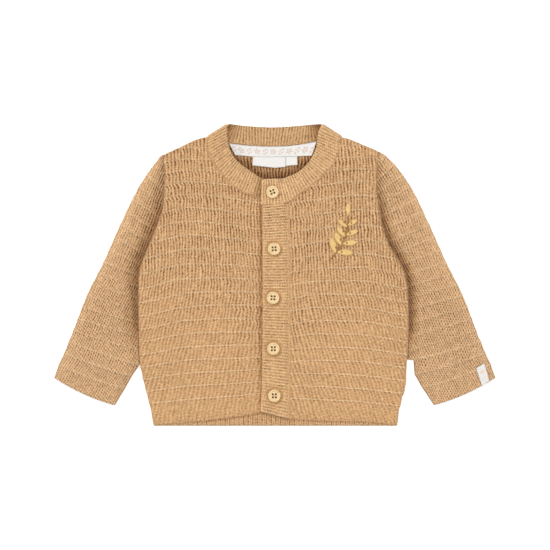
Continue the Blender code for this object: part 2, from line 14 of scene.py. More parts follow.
import bmesh
import bpy
import numpy as np
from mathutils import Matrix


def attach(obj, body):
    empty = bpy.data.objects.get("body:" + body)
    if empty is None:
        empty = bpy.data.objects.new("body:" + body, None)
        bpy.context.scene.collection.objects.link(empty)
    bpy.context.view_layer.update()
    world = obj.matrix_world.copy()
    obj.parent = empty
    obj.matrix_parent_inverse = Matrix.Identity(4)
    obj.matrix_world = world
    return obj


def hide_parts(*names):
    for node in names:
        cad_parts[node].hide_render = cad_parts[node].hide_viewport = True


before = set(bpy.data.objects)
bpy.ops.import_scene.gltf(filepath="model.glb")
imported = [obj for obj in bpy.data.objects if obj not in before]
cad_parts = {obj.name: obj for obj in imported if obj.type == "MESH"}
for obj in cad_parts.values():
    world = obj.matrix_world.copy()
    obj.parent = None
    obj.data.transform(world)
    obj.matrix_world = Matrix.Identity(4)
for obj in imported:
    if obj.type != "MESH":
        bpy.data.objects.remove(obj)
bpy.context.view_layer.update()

log = logging.getLogger("cardigan")

MM = 0.001
Color = tuple[float, float, float]
Points = np.ndarray
Material = bpy.types.Material
Object = bpy.types.Object


# ---- tables

# How thick the cloth is, how far apart its layers lie, and how far above the table it rests.
WALL = 2.0
GAP = 0.3
REST = 0.02
BAND_GAP = 0.45
FRONT_FLOOR = WALL + GAP
FRONT_TOP = FRONT_FLOOR + WALL
BAND_FLOOR = FRONT_TOP + BAND_GAP
BAND_TOP = BAND_FLOOR + WALL
RIB_RISE = 0.6
WELT_RISE = 0.8
# Welts are counted upwards from the lowest whole one, 0. The hem and the cuffs lie below it.
TOP_WELT = 19
HEM_WELT = -1.7
CUFF_WELT = -1.15
WELT_PITCH = 11.0
HEM = -137.2
NECK_PITCH = 2.58
SEAM_CLEARANCE = 0.12
LEAST_SIDE = 10.0


class EdgeRow(NamedTuple):
    """One point of an edge that runs down the garment."""

    height: float
    offset: float


class Course(NamedTuple):
    """The height of one welt where it crosses four upright lines of a front."""

    welt: float
    at_band: float
    at_chest: float
    at_flank: float
    at_seam: float


class SleeveRow(NamedTuple):
    """One section of a sleeve. An inner offset of 0 lies against the body."""

    welt: float
    outer_offset: float
    outer_height: float
    inner_offset: float
    inner_height: float


class BandRow(NamedTuple):
    """One station of a ribbed band: its free edge, its sewn edge and the floor under it."""

    free_x: float
    free_y: float
    seam_x: float
    seam_y: float
    floor: float = FRONT_FLOOR


def table(kind: type, *rows: Sequence[float]) -> tuple:
    """Rows of one kind, with their columns named."""
    return tuple(kind(*row) for row in rows)


COURSE_OFFSETS = (16.0, 41.0, 77.0, 118.0)
RIGHT_SIDE = table(
    EdgeRow,
    (125.5, 61.7), (122.8, 71.7), (117.3, 83.5), (111.8, 95.3), (108.5, 101.0), (88.7, 100.1),
    (62.7, 101.3), (50.0, 105.3), (29.0, 113.5), (10.4, 121.0), (-3.7, 124.0), (-68.3, 123.5),
    (-79.3, 122.6), (-101.1, 118.1), (-122.9, 112.6), (-133.5, 110.9), (HEM, 110.0),
)
RIGHT_COURSES = table(
    Course,
    (HEM_WELT, -126.0, -129.9, -133.9, HEM),
    (0.0, -107.7, -110.2, -112.7, -117.2),
    (4.0, -63.3, -63.7, -65.0, -72.0),
    (8.0, -15.6, -14.7, -16.0, -24.7),
    (12.0, 30.4, 33.6, 36.7, 28.1),
    (16.0, 77.7, 82.0, 85.0, 76.3),
    (19.0, 111.8, 115.5, 115.9, 111.8),
    (21.0, 136.0, 139.0, 139.7, 136.0),
)
LEFT_SIDE = table(
    EdgeRow,
    (125.5, 61.5), (122.8, 69.4), (117.3, 82.1), (111.3, 94.3), (102.7, 93.2), (81.1, 92.4),
    (63.0, 94.5), (43.6, 98.0), (25.4, 104.9), (3.1, 117.5), (-14.3, 121.0), (-42.0, 121.7),
    (-72.9, 121.0), (-79.3, 119.8), (-95.6, 119.2), (-104.3, 118.3), (-109.7, 116.2),
    (-117.5, 114.2), (-123.4, 112.8), (-133.5, 111.8), (HEM, 111.0),
)
LEFT_COURSES = table(
    Course,
    (HEM_WELT, -131.1, -132.7, -133.4, HEM),
    (0.0, -111.8, -113.0, -114.9, -119.1),
    (4.0, -67.2, -65.4, -66.2, -72.0),
    (8.0, -20.6, -17.0, -17.4, -24.2),
    (12.0, 26.8, 30.2, 32.5, 26.3),
    (16.0, 78.6, 81.8, 85.5, 80.0),
    (19.0, 114.6, 116.4, 118.2, 115.5),
    (21.0, 138.0, 140.0, 142.0, 139.0),
)

SLEEVE = table(
    SleeveRow,
    (3.0, 182.9, -50.1, 0.0, -68.3),
    (6.0, 170.8, -18.7, 0.0, -31.9),
    (9.0, 155.6, 11.7, 0.0, -0.5),
    (12.0, 140.4, 45.7, 0.0, 29.9),
    (15.0, 123.3, 80.4, 0.0, 63.6),
)
RIGHT_SHOULDER = table(
    SleeveRow,
    (17.0, 109.4, 100.9, 0.0, 85.4),
    (18.0, 104.6, 106.9, 0.0, 96.0),
    (18.6, 103.2, 108.3, 0.0, 102.0),
    (19.1, 102.0, 108.9, 0.0, 107.4),
    (19.5, 101.1, 109.4, 0.0, 108.7),
)
LEFT_SHOULDER = table(
    SleeveRow,
    (17.0, 108.3, 100.9, 0.0, 85.4),
    (18.0, 99.9, 109.0, 0.0, 97.3),
    (18.6, 96.6, 111.0, 0.0, 104.0),
    (19.1, 95.3, 111.6, 0.0, 109.8),
    (19.5, 94.5, 112.0, 0.0, 111.2),
)
RIGHT_CUFF = table(
    SleeveRow,
    (CUFF_WELT, 200.7, -93.5, 145.4, -118.5),
    (0.0, 196.1, -81.1, 135.8, -102.9),
    (1.0, 191.4, -71.1, 129.9, -92.0),
    (2.0, 187.1, -60.3, 123.0, -81.6),
)
LEFT_CUFF = table(
    SleeveRow,
    (CUFF_WELT, 200.7, -93.5, 144.6, -118.4),
    (0.0, 196.1, -81.1, 133.5, -102.0),
    (1.0, 191.4, -71.1, 127.0, -90.2),
    (2.0, 187.1, -60.3, 126.2, -77.4),
    (2.2, 186.1, -58.4, 0.0, -75.2),
)

RIGHT_BAND = table(
    BandRow,
    (-3.0, 86.4, -3.2, 66.6),
    (2.5, 86.6, 2.5, 67.2),
    (11.4, 87.8, 15.7, 70.9),
    (21.0, 93.6, 28.0, 75.2),
    (31.4, 101.0, 42.5, 85.4),
    (38.5, 109.3, 52.4, 97.3),
    (42.4, 119.5, 58.8, 108.2),
    (43.2, 127.9, 61.4, 118.7),
    (43.0, 137.2, 61.5, 125.6),
)
BACK_BAND = table(
    BandRow,
    (-43.0, 137.2, -61.5, 125.6, 0.0),
    (-40.7, 137.0, -55.0, 122.6, 0.0),
    (-35.3, 136.3, -42.0, 119.9, 0.0),
    (-24.5, 135.1, -24.5, 117.8, 0.0),
    (-2.7, 134.0, -4.0, 116.9, 0.0),
    (19.1, 135.1, 16.0, 117.6, 0.0),
    (31.2, 136.3, 31.2, 120.4, 0.0),
    (39.4, 136.9, 50.0, 123.6, 0.0),
    (43.0, 137.2, 61.3, 125.6, 0.0),
)
LEFT_BAND = table(
    BandRow,
    (43.0, 137.2, 61.3, 125.6),
    (39.3, 127.9, 58.5, 120.0),
    (38.7, 119.2, 57.4, 110.9),
    (35.7, 110.5, 52.1, 99.5),
    (30.4, 101.8, 43.0, 90.0),
    (21.7, 93.9, 31.2, 79.5),
    (13.4, 89.8, 20.7, 72.5),
    (6.0, 87.3, 11.6, 65.9, BAND_FLOOR),
    (-3.0, 87.1, -1.1, 63.6, BAND_FLOOR),
    (-12.0, 86.6, -13.0, 63.4, BAND_FLOOR),
)
BUTTON_BAND = table(
    BandRow,
    (-11.4, 63.2, 12.4, 65.4, 0.0),
    (-11.2, -22.8, 13.9, -23.3, 0.0),
    (-11.8, -95.6, 14.2, -99.3, 0.0),
    (-13.2, -124.2, 14.2, -131.3, 0.0),
)

# Both edges of each sewn-on strip, in the same order of points.
TAPE_EDGES = (
    ((-41.3, 119.2), (-24.5, 117.3), (-7.0, 116.4), (10.2, 116.8), (27.8, 119.0), (37.8, 120.8)),
    ((-36.0, 108.9), (-19.2, 107.5), (-4.0, 107.3), (20.8, 107.8), (33.6, 108.4)),
)
NECK_LABEL_EDGES = (
    ((-19.6, 107.4), (-4.0, 107.2), (9.9, 107.4)),
    ((-20.4, 99.6), (0.0, 97.3), (9.9, 98.2)),
)
SIZE_LABEL_EDGES = (((10.1, 107.4), (20.3, 107.7)), ((10.1, 99.1), (20.8, 100.0)))
CUFF_LABEL_EDGES = (((182.9, -84.8), (190.3, -80.4)), ((188.3, -101.0), (195.0, -96.2)))


# ---- curves

def smooth(x: Sequence[float], y: Points, at: Points) -> Points:
    """The curve through points in rising order of x that never swings past them.

    Args:
        x: The places of the points.
        y: Their values, or rows of values of which each row is its own curve.
        at: Where to read the curve, or for rows of values, rows of places.

    Returns:
        The values there, flat beyond the first and the last point.
    """
    x, y = np.asarray(x, float), np.asarray(y, float)
    at = np.clip(np.asarray(at, float), x[0], x[-1])
    rise = np.diff(y) / np.diff(x)
    product = rise[..., :-1] * rise[..., 1:]
    total = np.where(product > 0, rise[..., :-1] + rise[..., 1:], 1.0)
    middle = np.where(product > 0, 2 * product / total, 0.0)
    slope = np.concatenate([rise[..., :1], middle, rise[..., -1:]], axis=-1)
    i = np.clip(np.searchsorted(x, at) - 1, 0, len(x) - 2)
    span = x[i + 1] - x[i]
    t = (at - x[i]) / span

    def pick(values: Points, index: Points) -> Points:
        """The values at these places of the one curve, or of each row's own."""
        return values[index] if values.ndim == 1 else np.take_along_axis(values, index, axis=-1)

    return (
        pick(y, i) * (1 + 2 * t) * (1 - t) ** 2
        + pick(slope, i) * span * t * (1 - t) ** 2
        + pick(y, i + 1) * t * t * (3 - 2 * t)
        + pick(slope, i + 1) * span * t * t * (t - 1)
    )


def column(rows: Iterable[NamedTuple], name: str) -> list[float]:
    """One named column of a table."""
    return [getattr(row, name) for row in rows]


def edge_offset(rows: Sequence[EdgeRow], height: Points) -> Points:
    """Where an edge that runs down the garment lies at these heights."""
    return smooth([-row.height for row in rows], column(rows, "offset"), -np.asarray(height))


def course_height(courses: Sequence[Course], welt: Points, offset: Points) -> Points:
    """The height of each row's welt at each of its distances from the middle line.

    Args:
        courses: The table of one front.
        welt: One welt, whole or part, for each row.
        offset: Rows of offsets, each as long as the others.

    Returns:
        Rows of heights.
    """
    welts = column(courses, "welt")
    lines = [smooth(welts, column(courses, name), welt) for name in Course._fields[1:]]
    return smooth(COURSE_OFFSETS, np.stack(lines, axis=1), offset)


def meet(courses: Sequence[Course], welt: Points, edge: Callable[[Points], Points]) -> Points:
    """The offset at which each welt meets an edge, found by going back and forth between them.

    Args:
        courses: The table of one front.
        welt: The welts, whole or part.
        edge: The edge's offset at any heights.

    Returns:
        A column of offsets.
    """
    first_guess, rounds = 60.0, 40
    offset = np.full((len(welt), 1), first_guess)
    for _ in range(rounds):
        offset = 0.5 * (offset + edge(course_height(courses, welt, offset)))
    return offset


def step(low: float, high: float, value: Points) -> Points:
    """A soft step from 0 at `low` to 1 at `high`."""
    t = np.clip((np.asarray(value, float) - low) / (high - low), 0.0, 1.0)
    return t * t * (3 - 2 * t)


def fade(low: float, high: float, value: Points) -> Points:
    """A soft step from 1 at `low` to 0 at `high`."""
    return 1 - step(low, high, value)


def ripple(count: Points) -> Points:
    """A wave that is 0 at every whole count and 1 halfway between them."""
    return 0.5 - 0.5 * np.cos(2 * math.pi * count)


def shares(count: int) -> Points:
    """Evenly spaced shares from 0 to 1."""
    return np.linspace(0, 1, count)


def grid(*values: Points) -> Points:
    """Points or pairs made from their separate values."""
    return np.stack(values, axis=-1)


def side_by_side(*columns: Points) -> Points:
    """Columns of values put beside each other."""
    return np.concatenate(columns, axis=1)


def unit(directions: Points) -> Points:
    """Rows of directions, each made 1 long."""
    return directions / np.hypot(*directions.T)[:, None]


def distance_along(path: Points) -> Points:
    """How far along a path each of its points lies."""
    return np.concatenate([[0.0], np.cumsum(np.hypot(*np.diff(path, axis=0).T))])


def drift(x: Points, y: Points, scale: float, seed: float = 0.0) -> Points:
    """A soft, uneven swell between about -1 and 1, its humps about `scale` millimetres apart."""
    k = 2 * math.pi / scale
    return (
        np.sin(k * (0.83 * x + 0.31 * y) + 1.7 + seed)
        + np.sin(k * (0.41 * x - 0.97 * y) * 0.71 + 0.4 + 2.3 * seed)
        + np.sin(k * (-0.77 * x + 0.62 * y) * 1.37 + 3.1 * seed)
    ) / 3


class Line(NamedTuple):
    """A ribbed band read at many places along it."""

    free: Points
    seam: Points
    floor: Points


class Band:
    """A ribbed band laid out by stations."""

    def __init__(self, rows: Sequence[BandRow], pitch: float, mirror: int = 1) -> None:
        """Measures the band along its middle.

        Args:
            rows: The table of its stations.
            pitch: The distance between two ribs.
            mirror: -1 turns the table over to the wearer's right.
        """
        middle = np.array([((r.free_x + r.seam_x) / 2, (r.free_y + r.seam_y) / 2) for r in rows])
        self.rows = rows
        self.mirror = mirror
        self.along = distance_along(middle)
        self.ribs = round(self.along[-1] / pitch)

    def read(self, rib: Points) -> Line:
        """Reads the band along its length.

        Args:
            rib: Ribs, whole or part, counted from the first station.

        Returns:
            The band's two edges and its floor at each of them.
        """
        at = np.asarray(rib, float) / self.ribs * self.along[-1]
        free_x, free_y, seam_x, seam_y, floor = (
            smooth(self.along, column(self.rows, name), at) for name in BandRow._fields
        )
        return Line(
            np.stack([self.mirror * free_x, free_y], axis=1),
            np.stack([self.mirror * seam_x, seam_y], axis=1),
            floor,
        )


# ---- meshes

class Spot(NamedTuple):
    """A rectangle of the baking map: its lowest corner and its size."""

    u: float
    v: float
    width: float
    height: float


FACE_SPOT = Spot(0.0, 0.20, 1.0, 0.80)
LINING_SPOT = Spot(0.0, 0.06, 1.0, 0.12)


def rim_spot(number: int) -> Spot:
    """The narrow strip of the baking map for one of a piece's rims."""
    return Spot(0.0, 0.012 * number, 1.0, 0.010)


@dataclass
class Patch:
    """A grid of points on one face of a piece, with what its finish reads at each of them."""

    points: Points
    knit: Points
    depth: Points
    grain: Points
    shade: Points

    def part(self, rows: Points, columns: Points) -> "Patch":
        """The patch with only some of its rows and columns."""
        pick = np.ix_(rows, columns)
        return Patch(*(values[pick] for values in
                       (self.points, self.knit, self.depth, self.grain, self.shade)))

    def at_height(self, height: float) -> "Patch":
        """The same patch laid flat at one height, without its relief."""
        points = np.where(np.arange(3) == 2, height, self.points)
        return Patch(points, self.knit, 0 * self.depth, 0 * self.grain, self.shade)


def every(count: int, pitch: int) -> Points:
    """Indices at a regular pitch, with the last one always among them."""
    return np.unique(np.append(np.arange(0, count, pitch), count - 1))


@dataclass
class Cloth:
    """Gathers the patches of one piece and turns them into one closed mesh with its maps."""

    name: str
    patches: list[Patch] = field(default_factory=list)
    faces: list[tuple[Points, Points]] = field(default_factory=list)
    count: int = 0

    def lay(self, patch: Patch, spot: Spot, closed: bool = False) -> Points:
        """Adds a patch and its faces.

        Args:
            patch: The grid to add.
            spot: Its place on the baking map.
            closed: Whether each row of points goes round and meets itself.

        Returns:
            The numbers of its points, as a grid.
        """
        rows, columns = patch.points.shape[:2]
        index = self.count + np.arange(rows * columns).reshape(rows, columns)
        self.count += rows * columns
        self.patches.append(patch)
        u = spot.u + spot.width * shares(columns + closed)
        v = spot.v + spot.height * shares(rows)
        looped = side_by_side(index, index[:, :1]) if closed else index
        place = np.stack(np.meshgrid(u, v), axis=-1)
        corners = ((slice(None, -1), slice(None, -1)), (slice(None, -1), slice(1, None)),
                   (slice(1, None), slice(1, None)), (slice(1, None), slice(None, -1)))
        self.faces.append((
            np.stack([looped[c].ravel() for c in corners], axis=1),
            np.stack([place[c].reshape(-1, 2) for c in corners], axis=1),
        ))
        return index

    def bridge(self, first: Points, second: Points, spot: Spot) -> None:
        """Closes the gap between two runs of points that need not have equally many.

        Args:
            first: Point numbers along one edge.
            second: Point numbers along the other, in the same direction.
            spot: The strip's place on the baking map.
        """
        s, t = shares(len(first)), shares(len(second))
        i = j = 0
        corners, places = [], []
        while i < len(first) - 1 or j < len(second) - 1:
            near = (spot.u + spot.width * s[i], spot.v)
            far = (spot.u + spot.width * t[j], spot.v + spot.height)
            if j == len(second) - 1 or (i < len(first) - 1 and s[i + 1] <= t[j + 1]):
                i += 1
                corners.append((first[i - 1], first[i], second[j]))
                places.append((near, (spot.u + spot.width * s[i], spot.v), far))
            else:
                j += 1
                corners.append((first[i], second[j], second[j - 1]))
                places.append((near, (spot.u + spot.width * t[j], spot.v + spot.height), far))
        self.faces.append((np.array(corners), np.array(places)))

    def wall(self, top: Patch, bottom: Patch) -> None:
        """Adds a wall between two faces, closed round its rim.

        Args:
            top: The upper face.
            bottom: The lower one, with the same outline.
        """
        upper = self.lay(top, FACE_SPOT)
        lower = self.lay(bottom, LINING_SPOT)
        rims = ((upper[0], lower[0]), (upper[-1], lower[-1]),
                (upper[:, 0], lower[:, 0]), (upper[:, -1], lower[:, -1]))
        for i, (first, second) in enumerate(rims):
            self.bridge(first, second, rim_spot(i))

    def build(self, material: Material) -> Object:
        """Makes the mesh and its object, smooth and facing out.

        Args:
            material: Its finish.

        Returns:
            The object.
        """
        mesh = bpy.data.meshes.new(self.name)
        stacked = {
            name: np.concatenate([getattr(p, name).reshape(p.depth.size, -1) for p in self.patches])
            for name in ("points", "knit", "depth", "grain", "shade")
        }
        mesh.vertices.add(self.count)
        mesh.vertices.foreach_set("co", (stacked["points"] * MM).astype(np.float32).ravel())
        sizes = np.concatenate([np.full(len(c), c.shape[1]) for c, _ in self.faces])
        loops = np.concatenate([c.ravel() for c, _ in self.faces]).astype(np.int32)
        mesh.loops.add(len(loops))
        mesh.loops.foreach_set("vertex_index", loops)
        mesh.polygons.add(len(sizes))
        starts = np.concatenate([[0], np.cumsum(sizes)[:-1]]).astype(np.int32)
        mesh.polygons.foreach_set("loop_start", starts)
        mesh.update(calc_edges=True)
        bake = np.concatenate([p.reshape(-1, 2) for _, p in self.faces])
        for name, values in (("OFBake", bake), ("Knit", stacked["knit"][loops])):
            layer = mesh.uv_layers.new(name=name)
            layer.data.foreach_set("uv", values.astype(np.float32).ravel())
        for name in ("depth", "grain", "shade"):
            attribute = mesh.attributes.new(name.capitalize(), "FLOAT", "POINT")
            attribute.data.foreach_set("value", stacked[name].astype(np.float32).ravel())
        mesh.validate()
        work = bmesh.new()
        work.from_mesh(mesh)
        bmesh.ops.recalc_face_normals(work, faces=work.faces)
        for face in work.faces:
            face.smooth = True
        work.to_mesh(mesh)
        work.free()
        mesh.materials.append(material)
        return linked(self.name, mesh)


def linked(name: str, data: bpy.types.ID) -> Object:
    """Gives a mesh, a light or a camera an object in the scene.

    Args:
        name: The object's name.
        data: What it shows.

    Returns:
        The object.
    """
    made = bpy.data.objects.new(name, data)
    bpy.context.scene.collection.objects.link(made)
    return made


def from_work(name: str, work: bmesh.types.BMesh) -> Object:
    """Turns a working mesh into an object in the scene.

    Args:
        name: The object's name.
        work: The working mesh, which is used up.

    Returns:
        The object.
    """
    mesh = bpy.data.meshes.new(name)
    work.to_mesh(mesh)
    work.free()
    return linked(name, mesh)


def settle(piece: Object, nodes: Sequence[str] = ()) -> Object:
    """Ties a piece to the garment.

    Args:
        piece: The finished piece, in place.
        nodes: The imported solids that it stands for.

    Returns:
        The same piece.
    """
    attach(piece, "root")
    if nodes:
        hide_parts(*nodes)
    log.info("%s: %d faces", piece.name, len(piece.data.polygons))
    return piece


def cut_from(piece: Object, width: float, length: float, **facts: object) -> None:
    """Logs the area of a piece's cloth and its share of the rectangle that it was cut from.

    Args:
        piece: The piece.
        width: One side of the rectangle, in millimetres.
        length: The other side.
    """
    work = bmesh.new()
    work.from_mesh(piece.data)
    area = sum(face.calc_area() for face in work.faces) / 2
    work.free()
    flat = (width * MM, length * MM)
    share = area / (flat[0] * flat[1])
    log.info("%s: cloth %.4f m2, share of its rectangle %.2f", piece.name, area, share)


# ---- materials

Operand = Union["Signal", float, Color]


@dataclass(frozen=True)
class Signal:
    """An output socket of a material, with arithmetic that adds the nodes it needs."""

    graph: "Graph"
    socket: bpy.types.NodeSocket

    def _join(self, operation: str, first: Operand, second: Operand) -> "Signal":
        """Adds a Math node, or a Vector Math node where either side is a colour or a vector.

        Args:
            operation: The node's operation, which both kinds have.
            first: Its first value.
            second: Its second one.

        Returns:
            The result.
        """
        def is_number(value: Operand) -> bool:
            """Whether this is a single number or carries one."""
            if isinstance(value, Signal):
                return value.socket.type == "VALUE"
            return not isinstance(value, tuple)

        if is_number(first) and is_number(second):
            return self.graph.node("ShaderNodeMath", {"operation": operation}, {0: first, 1: second})
        widened = [(v, v, v) if isinstance(v, (int, float)) else v for v in (first, second)]
        return self.graph.node(
            "ShaderNodeVectorMath", {"operation": operation}, {0: widened[0], 1: widened[1]}
        )

    def __add__(self, other: Operand) -> "Signal":
        """The sum."""
        return self._join("ADD", self, other)

    __radd__ = __add__

    def __mul__(self, other: Operand) -> "Signal":
        """The product."""
        return self._join("MULTIPLY", self, other)

    __rmul__ = __mul__

    def __sub__(self, other: Operand) -> "Signal":
        """The difference."""
        return self._join("SUBTRACT", self, other)

    def __rsub__(self, other: Operand) -> "Signal":
        """The difference, the other way round."""
        return self._join("SUBTRACT", other, self)

    def __pow__(self, other: float) -> "Signal":
        """The power of a number."""
        return self._join("POWER", self, other)

    def apply(self, operation: str) -> "Signal":
        """A one-sided Math operation on a number, such as COSINE or FLOOR."""
        return self.graph.node("ShaderNodeMath", {"operation": operation}, {0: self})

    def wave(self) -> "Signal":
        """A wave of a number, 1 at every whole one and 0 halfway between them."""
        return (self * (2 * math.pi)).apply("COSINE") * 0.5 + 0.5

    def between(self, low: float, high: float) -> "Signal":
        """A soft step of a number, from 0 at `low` to 1 at `high`."""
        return self.graph.node(
            "ShaderNodeMapRange",
            {"interpolation_type": "SMOOTHSTEP"},
            {"Value": self, "From Min": low, "From Max": high},
        )


class Graph:
    """The nodes of one material."""

    def __init__(self, name: str) -> None:
        """Makes a material with its Principled shader.

        Args:
            name: What the material is called.
        """
        self.material = bpy.data.materials.new(name)
        self.material.use_nodes = True
        self.tree = self.material.node_tree
        self.shader = self.tree.nodes["Principled BSDF"]

    def node(
        self, kind: str, settings: dict[str, object], inputs: dict[Union[str, int], Operand],
        output: Union[str, int] = 0,
    ) -> Signal:
        """Adds a node.

        Args:
            kind: The node's type.
            settings: Its own settings, which are set first.
            inputs: The value or link of each socket that isn't left alone.
            output: The socket to return.

        Returns:
            The chosen output.
        """
        node = self.tree.nodes.new(kind)
        for name, value in settings.items():
            setattr(node, name, value)
        for key, value in inputs.items():
            self.feed(node.inputs[key], value)
        return Signal(self, node.outputs[output])

    def feed(self, socket: bpy.types.NodeSocket, value: Operand) -> None:
        """Links a signal to a socket, or sets the socket to a value.

        Args:
            socket: The input.
            value: The signal, number or colour.
        """
        if isinstance(value, Signal):
            self.tree.links.new(value.socket, socket)
        elif isinstance(value, tuple) and len(socket.default_value) == 4:
            socket.default_value = (*value, 1.0)
        else:
            socket.default_value = value

    def mix(self, factor: Operand, first: Operand, second: Operand) -> Signal:
        """A colour between two colours."""
        return self.node(
            "ShaderNodeMix", {"data_type": "RGBA"}, {0: factor, 6: first, 7: second}, 2
        )

    def noise(self, place: Signal, scale: float, detail: float = 2.0) -> Signal:
        """Soft noise from 0 to 1."""
        return self.node(
            "ShaderNodeTexNoise", {}, {"Vector": place, "Scale": scale, "Detail": detail}
        )

    def chance(self, column_number: Operand, row_number: Operand) -> Signal:
        """A random number from 0 to 1 that stays the same within one cell."""
        cell = self.node("ShaderNodeCombineXYZ", {}, {"X": column_number, "Y": row_number})
        return self.node("ShaderNodeTexWhiteNoise", {"noise_dimensions": "2D"}, {"Vector": cell})

    def attribute(self, name: str) -> Signal:
        """A number stored at each point of the mesh."""
        return self.node("ShaderNodeAttribute", {"attribute_name": name}, {}, "Fac")

    def map(self, name: str) -> tuple[Signal, Signal, Signal]:
        """A named map and its two numbers."""
        whole = self.node("ShaderNodeUVMap", {"uv_map": name}, {})
        return (
            whole,
            self.node("ShaderNodeSeparateXYZ", {}, {0: whole}, "X"),
            self.node("ShaderNodeSeparateXYZ", {}, {0: whole}, "Y"),
        )

    def place(self) -> Signal:
        """The point's place in the frame, in metres."""
        return self.node("ShaderNodeTexCoord", {}, {}, "Object")

    def warmed(self, shade: Signal) -> Signal:
        """A shadow's colour: light that has bounced off yarn has lost more blue than red."""
        bounced = {"X": shade, "Y": shade ** 1.3, "Z": shade ** 1.65}
        return self.node("ShaderNodeCombineXYZ", {}, bounced)

    def finish(
        self, color: Operand, height: Signal, depth: float, constants: dict[str, object]
    ) -> Material:
        """Feeds the shader.

        Args:
            color: The base colour.
            height: The fine relief, from 0 to about 1.
            depth: What a relief of 1 stands for, in metres.
            constants: The shader's own values that are the same all over.

        Returns:
            The material.
        """
        self.feed(self.shader.inputs["Base Color"], color)
        bump = self.node("ShaderNodeBump", {}, {"Height": height, "Distance": depth})
        self.feed(self.shader.inputs["Normal"], bump)
        for name, value in constants.items():
            self.feed(self.shader.inputs[name], value)
        return self.material


@dataclass(frozen=True)
class YarnFinish:
    """Knitted cotton yarn: cords or ribs, fine stitches and loose fibres, with shade painted into the
    grooves and between the stitches and a highlight painted on the crests and welts.

    The "Knit" map counts cords sideways and tiers upwards. Depth, Grain and Shade are how deep the
    grooves are, how much the single stitches show and how much light reaches the place, painted
    into its colour.
    """

    name: str
    yarn: Color = (0.640, 0.372, 0.176)
    # The groove colour is painted shade and the raised colour a painted highlight.
    groove: Color = (0.190, 0.072, 0.018)
    raised: Color = (0.840, 0.585, 0.340)
    narrow: float = 1.9
    groove_strength: float = 1.0
    dot_strength: float = 0.34
    crest_strength: float = 0.60
    stitches: float = 4.5
    cuff_stitches: float = 0.0
    slip: float = 0.0
    wander: float = 0.34
    uneven: float = 0.7
    welt_light: float = 0.0
    welt_shadow: float = 0.0
    welt_half: float = 0.07

    def dress(self) -> Material:
        """Builds the material.

        Returns:
            The material.
        """
        g = Graph(self.name)
        knit, u, v = g.map("Knit")
        place = g.place()
        depth, grain, shade = (g.attribute(name) for name in ("Depth", "Grain", "Shade"))
        u = u + (g.noise(knit * (1.0, 2.0, 1.0), 0.8) - 0.5) * self.wander
        crest = u.wave()
        # The painted shade in every groove is broken into dashes. Where the stitches show most, they
        # line up aslant.
        groove_number = u.apply("FLOOR")
        start = g.chance(groove_number, 0.0)
        loose = 1.0 - grain.between(0.9, 1.25)
        tier = v - v.apply("FLOOR")
        rate = (1.0 - v.between(0.94, 0.96)) * self.cuff_stitches + self.stitches
        dash = v * rate + start * loose + u * self.slip
        chance = g.chance(groove_number, dash.apply("FLOOR") + 0.5)
        run = g.chance(groove_number, (v * 1.7 + start * 3.0).apply("FLOOR") + 0.25)
        pinch = dash.wave()
        # The grooves' painted shade is darkest just under each welt and lightest just above the next one
        # down.
        gap = (1.0 - crest) ** self.narrow * depth * (tier.between(-0.1, 0.7) * 0.5 + 0.65)
        # Small dots of painted shade lie between the stitches in the grooves.
        dots = (1.0 - crest) * (1.0 - pinch) * grain
        dark = gap * (chance * 0.62 + run * 0.44 + 0.10)
        dark = dark + dots * (chance * self.uneven + (1.0 - self.uneven / 2)) * self.dot_strength
        fibre = g.noise(place, 1050.0)
        heather = g.noise(place, 560.0, 3.0)
        # A painted highlight, in the raised colour, lies along each crest.
        light = crest ** 3.0 * (pinch * grain * 0.5 + 0.60) * (depth * 0.70 + 0.30)
        light = light * (heather * 1.2 + 0.5)
        height = crest * depth * 0.5 + pinch * grain * 0.30 + fibre * 0.22
        color = g.mix(dark * self.groove_strength, self.yarn, self.groove)
        color = g.mix(light * (1.2 - run * 0.4) * self.crest_strength, color, self.raised)
        if self.welt_light:
            # Deep cords push the welt's line out of true.
            bent = v + crest * (depth * 0.11 + 0.01)
            off = (bent - (bent + 0.5).apply("FLOOR")).apply("ABSOLUTE")
            there = v.between(-0.6, -0.4)
            # A painted shadow lies in the grooves on both sides of each welt's line.
            under = (off.between(0.03, 0.075) - off.between(0.10, 0.17)) * there
            color = g.mix(under * (1.0 - crest) * chance * self.welt_shadow, color, self.groove)
            # The welt's line itself is a painted highlight in the raised colour.
            line = (1.0 - off.between(0.015, self.welt_half)) * there
            # The welts come and go along their length.
            broken = g.noise(knit * (0.22, 1.0, 1.0), 1.0).between(0.30, 0.55) * 0.45 + 0.55
            line = line * broken * (crest * 0.4 + 0.6)
            color = g.mix(line * self.welt_light, color, self.raised)
            height = height + line * 0.3
        tone = heather * 0.95 + fibre * 0.95 + g.noise(place, 38.0) * 0.12 - 0.03
        return g.finish(
            color * tone * g.warmed(shade), height, 0.0009,
            {"Roughness": 0.88, "Sheen Weight": 0.12, "Sheen Roughness": 0.45,
             "Specular IOR Level": 0.25},
        )


@dataclass(frozen=True)
class ThreadFinish:
    """Sewing or embroidery thread, with a slight twist."""

    name: str
    color: Color
    twist: float = 2600.0

    def dress(self) -> Material:
        """Builds the material.

        Returns:
            The material.
        """
        g = Graph(self.name)
        place = g.place()
        fibre = g.noise(place, self.twist)
        tone = fibre * 0.4 + g.noise(place, 300.0) * 0.2 + 0.70
        return g.finish(
            tone * g.warmed(g.attribute("Shade")) * self.color, fibre, 0.0002,
            {"Roughness": 0.7, "Sheen Weight": 0.05, "Specular IOR Level": 0.15},
        )


